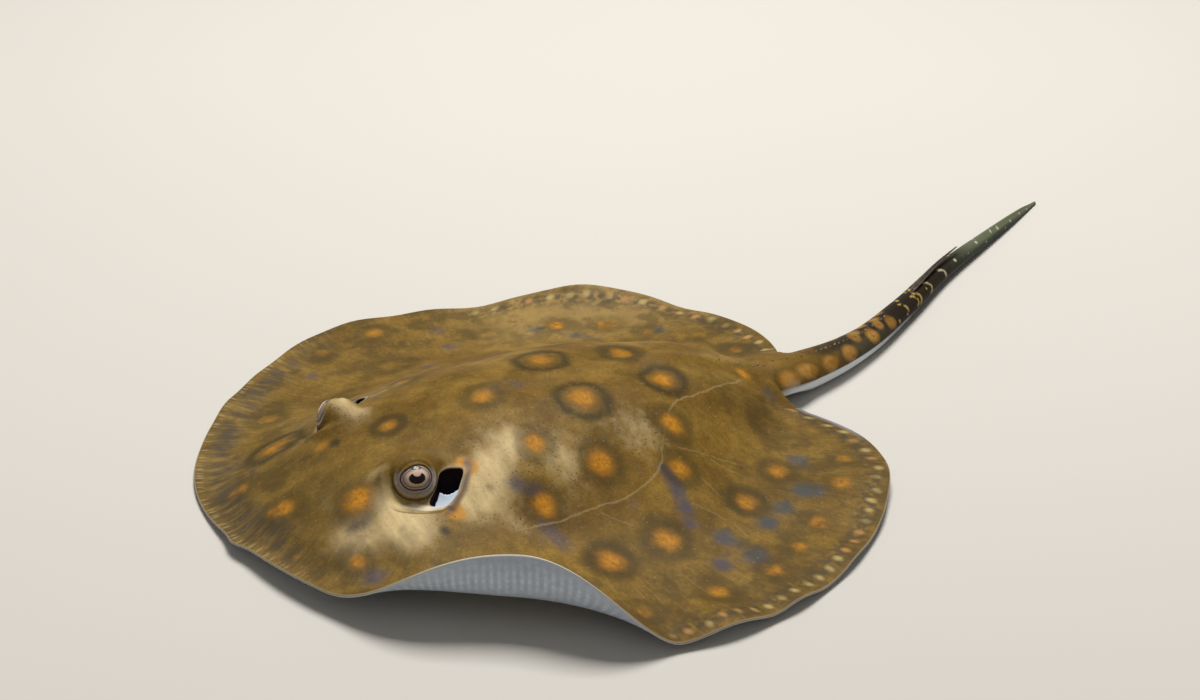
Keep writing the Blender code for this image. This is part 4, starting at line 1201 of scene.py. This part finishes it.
def oval(middle_x, middle_y, half_width, half_height, soft):
    """1 inside an oval of the painted eye, in mm from the middle of the pupil."""
    x = work(e, "DIVIDE", work(e, "SUBTRACT", rearwards, middle_x), half_width)
    y = work(e, "DIVIDE", work(e, "SUBTRACT", upwards, middle_y), half_height)
    place = add(e, "CombineXYZ", x, y, 0.0).outputs[0]
    away = add(e, "VectorMath", place, operation="LENGTH").outputs["Value"]
    away = work(e, "ADD", away, times(e, ripple, 0.16))
    return step(e, away, 1.0 - soft, 1.0 + soft, 1.0, 0.0)


flecks = clouds(e, seen, 0.55, 3.0, 0.7)
iris = glaze(e, step(e, flecks, 0.35, 0.68), (0.560, 0.390, 0.290), (0.800, 0.640, 0.520))
gold = times(e, step(e, clouds(e, seen, 0.9, 2.0, 0.6), 0.56, 0.70), 0.55)
iris = glaze(e, gold, iris, (0.420, 0.220, 0.060))
iris = glaze(e, step(e, opening_mark, 24.0, 38.0, 0.0, 0.65), iris, (0.210, 0.130, 0.085))
white_of_eye = shaded(e, (0.330, 0.290, 0.290), 0.75, 1.15, flecks)
iris = glaze(e, step(e, opening_mark, 39.0, 42.0), iris, white_of_eye)
iris = glaze(e, times(e, peak(e, opening_mark, 39.5, 3.2), 0.85), iris, (0.045, 0.030, 0.026))
iris = glaze(e, step(e, opening_mark, 46.0, 49.5, 0.0, 0.9), iris, (0.030, 0.020, 0.018))
# Painted shadow under the upper lid: a dark teal patch above the pupil's flap.
iris = glaze(e, times(e, oval(0.2, 2.9, 1.7, 0.65, 0.30), 0.9), iris, (0.030, 0.040, 0.036))
pupil = work(e, "SUBTRACT", oval(0.15, -0.40, 2.6, 1.80, 0.06), oval(0.25, 1.20, 1.30, 1.10, 0.10))
iris = glaze(e, work(e, "MAXIMUM", pupil, 0.0), iris, (0.012, 0.010, 0.012))
e.links.new(iris, eye_surface.inputs["Base Color"])
eyeball("eye_left", 1)
eyeball("eye_right", -1)


# ---- Sting -------------------------------------------------------------------------------------
# A blade of dark bone on top of the tail, ridged along the middle, its edges cut into barbs that
# point back at the root. It is rooted in the skin and its tip stands clear of the tail.
STING = dict(start=0.45, end=0.66, width=2.6, thick=1.3, rise=2.2, barb=1.5, clear=0.3, sunk=0.5)
# across and up, in half widths and thicknesses
STING_PROFILE = [
    (-1, 0.35), (-0.92, 0.20), (-0.55, 0.10), (0, 0.0), (0.55, 0.10), (0.92, 0.20), (1, 0.35),
    (0.90, 0.52), (0.62, 0.66), (0.45, 0.60), (0.22, 0.86), (0, 1.0), (-0.22, 0.86), (-0.45, 0.60),
    (-0.62, 0.66), (-0.90, 0.52)]

blade_places, blade_faces, blade_guide = [], [], []
blade_rings = 180
for k in range(blade_rings + 1):
    t = k / blade_rings
    mark = (STING["start"] + (STING["end"] - STING["start"]) * t) * TAIL_LENGTH
    x, y, half_width, half_height, heading = tail_at(np.float64(mark))
    low = 2 * half_height - TAIL_FLAT + STING["rise"] * t + STING["clear"] * ease(t, 0.04, 0.14)
    low = low - STING["sunk"] * (1 - ease(t, 0, 0.1))
    tooth = 1 - (mark / STING["barb"]) % 1.0
    half = 0.5 * STING["width"] * (0.35 + 0.65 * ease(t, 0, 0.10)) * (1 - 0.85 * t ** 2)
    half = half * (1 - 0.16 * tooth * ease(t, 0.12, 0.3))
    thick = STING["thick"] * (1 - 0.5 * t) * (1 - 0.7 * ease(t, 0.97, 1.0))
    for across, up in STING_PROFILE:
        aside = across * half
        blade_places.append((x + heading[1] * aside, y - heading[0] * aside, low + up * thick))
        blade_guide.append((t, across, up))
sides = len(STING_PROFILE)
for k in range(blade_rings):
    for i in range(sides):
        n = (i + 1) % sides
        blade_faces.append((k * sides + i, k * sides + n, (k + 1) * sides + n, (k + 1) * sides + i))
blade_faces.append(tuple(reversed(range(sides))))
blade_faces.append(tuple(range(blade_rings * sides, (blade_rings + 1) * sides)))
blade = closed_piece("sting_blade", blade_places, blade_faces, dict(blade=blade_guide))
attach(blade, "root")
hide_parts("sting")

bone_material, b, bone_surface = new_material("sting", 0.42, 0.35)
blade_along, blade_across, blade_up, _ = guide(b, "blade")
bone_place = in_mm(b)
bone_clouds = step(b, clouds(b, bone_place, 1.4, 3.0, 0.6), 0.35, 0.65)
bone = glaze(b, bone_clouds, (0.024, 0.016, 0.010), (0.060, 0.042, 0.026))
bone = glaze(b, step(b, work(b, "ABSOLUTE", blade_across), 0.80, 1.0, 0.0, 0.6), bone, (0.160, 0.120, 0.080))
bone = glaze(b, step(b, blade_along, 0.80, 1.0, 0.0, 0.5), bone, (0.150, 0.115, 0.080))
b.links.new(bone, bone_surface.inputs["Base Color"])
relief(b, bone_surface, clouds(b, bone_place, 0.8, 3.0, 0.6), 0.4, 0.0002)
blade.data.materials.append(bone_material)


# ---- Thorns ------------------------------------------------------------------------------------
# Small thorns of tooth-like enamel, in a loose row along the crest from behind the back
# over the tail's root. Each sits in the skin and leans back towards the tail's tip.
def thorn_tree():
    """Sets one leaning cone on every point it is given, its size and lean varied by the seed."""
    tree = bpy.data.node_groups.new("thorns", "GeometryNodeTree")
    face = tree.interface
    face.new_socket("Geometry", in_out="INPUT", socket_type="NodeSocketGeometry")
    for name, value in (("Height", 0.0014), ("Base", 0.00055), ("Lean", 0.75), ("Heading", 0.0)):
        face.new_socket(name, in_out="INPUT", socket_type="NodeSocketFloat").default_value = value
    face.new_socket("Material", in_out="INPUT", socket_type="NodeSocketMaterial")
    face.new_socket("Geometry", in_out="OUTPUT", socket_type="NodeSocketGeometry")
    source, result = tree.nodes.new("NodeGroupInput"), tree.nodes.new("NodeGroupOutput")
    cone = tree.nodes.new("GeometryNodeMeshCone")
    cone.inputs["Vertices"].default_value = 8
    cone.inputs["Side Segments"].default_value = 4
    tree.links.new(source.outputs["Base"], cone.inputs["Radius Bottom"])
    tree.links.new(source.outputs["Height"], cone.inputs["Depth"])
    points = tree.nodes.new("GeometryNodeMeshToPoints")
    tree.links.new(source.outputs["Geometry"], points.inputs["Mesh"])
    size = tree.nodes.new("FunctionNodeRandomValue")
    size.data_type = "FLOAT"
    sway = tree.nodes.new("FunctionNodeRandomValue")
    sway.data_type = "FLOAT"
    for node, low, high, seed in ((size, 0.55, 1.15, 4), (sway, -0.35, 0.35, 9)):
        floats = [socket for socket in node.inputs if socket.type == "VALUE" and socket.enabled]
        floats[0].default_value, floats[1].default_value = low, high
        node.inputs["Seed"].default_value = seed
    turn = tree.nodes.new("ShaderNodeCombineXYZ")
    heading_sum = tree.nodes.new("ShaderNodeMath")
    tree.links.new(source.outputs["Heading"], heading_sum.inputs[0])
    tree.links.new(sway.outputs[1], heading_sum.inputs[1])
    tree.links.new(source.outputs["Lean"], turn.inputs["Y"])
    tree.links.new(heading_sum.outputs[0], turn.inputs["Z"])
    place = tree.nodes.new("GeometryNodeInstanceOnPoints")
    tree.links.new(points.outputs["Points"], place.inputs["Points"])
    tree.links.new(cone.outputs["Mesh"], place.inputs["Instance"])
    tree.links.new(turn.outputs[0], place.inputs["Rotation"])
    tree.links.new(size.outputs[1], place.inputs["Scale"])
    real = tree.nodes.new("GeometryNodeRealizeInstances")
    tree.links.new(place.outputs["Instances"], real.inputs[0])
    finish = tree.nodes.new("GeometryNodeSetMaterial")
    tree.links.new(real.outputs[0], finish.inputs["Geometry"])
    tree.links.new(source.outputs["Material"], finish.inputs["Material"])
    tree.links.new(finish.outputs[0], result.inputs[0])
    return tree


thorn_material, n, thorn_surface = new_material("thorn", 0.60)
thorn_shade = step(n, clouds(n, in_mm(n), 2.0, 2.0, 0.5), 0.40, 0.60)
thorn_colour = glaze(n, thorn_shade, (0.090, 0.066, 0.036), (0.210, 0.155, 0.085))
n.links.new(thorn_colour, thorn_surface.inputs["Base Color"])

tree = thorn_tree()
crest_v = np.arange(86, 105, 2.1)
crest_u = spine(crest_v) + np.resize([0.3, 1.3, -0.8, 0.6], len(crest_v))
on_back = pose_disc(crest_u, crest_v, np.zeros(len(crest_v)))
on_tail = [places[tail_rings[k][SECTOR_COLUMNS // 2 + (0, 1, -1)[k % 3]]] for k in range(2, 78, 3)]
thorn_rows = []
THORN_ROWS = ((on_back, 0.0011), (on_tail[:9], 0.0014), (on_tail[9:17], 0.0013), (on_tail[17:], 0.0010))
for stretch, height in THORN_ROWS:
    stretch = np.array(stretch)
    run = stretch[-1] - stretch[0]
    row = bpy.data.meshes.new("crest")
    row.from_pydata(((stretch - [0, 0, 0.30]) * MM).tolist(), [], [])
    carrier = placed("crest", row)
    modifier = carrier.modifiers.new("thorns", "NODES")
    modifier.node_group = tree
    named = {item.name: item.identifier for item in tree.interface.items_tree if item.in_out == "INPUT"}
    modifier[named["Heading"]] = float(np.arctan2(run[1], run[0]))
    modifier[named["Height"]] = height
    modifier[named["Material"]] = thorn_material
    grown = bpy.data.meshes.new_from_object(carrier.evaluated_get(bpy.context.evaluated_depsgraph_get()))
    carrier.modifiers.clear()
    bpy.data.objects.remove(carrier)
    thorn_rows.append(grown)
thorns_bm = bmesh.new()
for grown in thorn_rows:
    thorns_bm.from_mesh(grown)
thorns_mesh = bpy.data.meshes.new("thorns")
thorns_bm.to_mesh(thorns_mesh)
thorns_bm.free()
thorns_mesh.materials.append(thorn_material)
thorns_mesh.shade_smooth()
thorns = placed("thorns", thorns_mesh)
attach(thorns, "root")


# ---- Floor and light ---------------------------------------------------------------------------
# A plain pale floor of a matt board, one large soft light behind and to the left, and an even warm
# surround that fills the shadows.
floor_material, f, floor_surface = new_material("floor", 0.85, 0.2)
floor_cloud = clouds(f, add(f, "TexCoord").outputs["Object"], 0.35, 3.0, 0.5)
floor_colour = glaze(f, floor_cloud, (0.540, 0.520, 0.485), (0.570, 0.550, 0.515))
f.links.new(floor_colour, floor_surface.inputs["Base Color"])
floor_mesh = bpy.data.meshes.new("floor")
floor_mesh.from_pydata([(-4, -4, 0), (4, -4, 0), (4, 4, 0), (-4, 4, 0)], [], [(0, 1, 2, 3)])
floor_mesh.materials.append(floor_material)
floor = placed("floor", floor_mesh)
floor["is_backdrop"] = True


def soft_light(name, place, size, power, colour):
    light = bpy.data.lights.new(name, "AREA")
    light.size, light.energy, light.color = size, power, colour
    holder = placed(name, light)
    holder.location = place
    holder.rotation_euler = (-Vector(place)).to_track_quat("-Z", "Y").to_euler()


soft_light("key", (-0.45, 0.35, 1.30), 0.6, 26, (1.0, 0.98, 0.94))
world = bpy.data.worlds.new("studio")
bpy.context.scene.world = world
world.use_nodes = True
surround = world.node_tree.nodes["Background"]
surround.inputs["Color"].default_value = (1.0, 0.97, 0.92, 1.0)
surround.inputs["Strength"].default_value = 0.25
bpy.context.scene.view_settings.view_transform = "Standard"


# ---- Finish ------------------------------------------------------------------------------------
# The box of the finished model.
low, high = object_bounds()
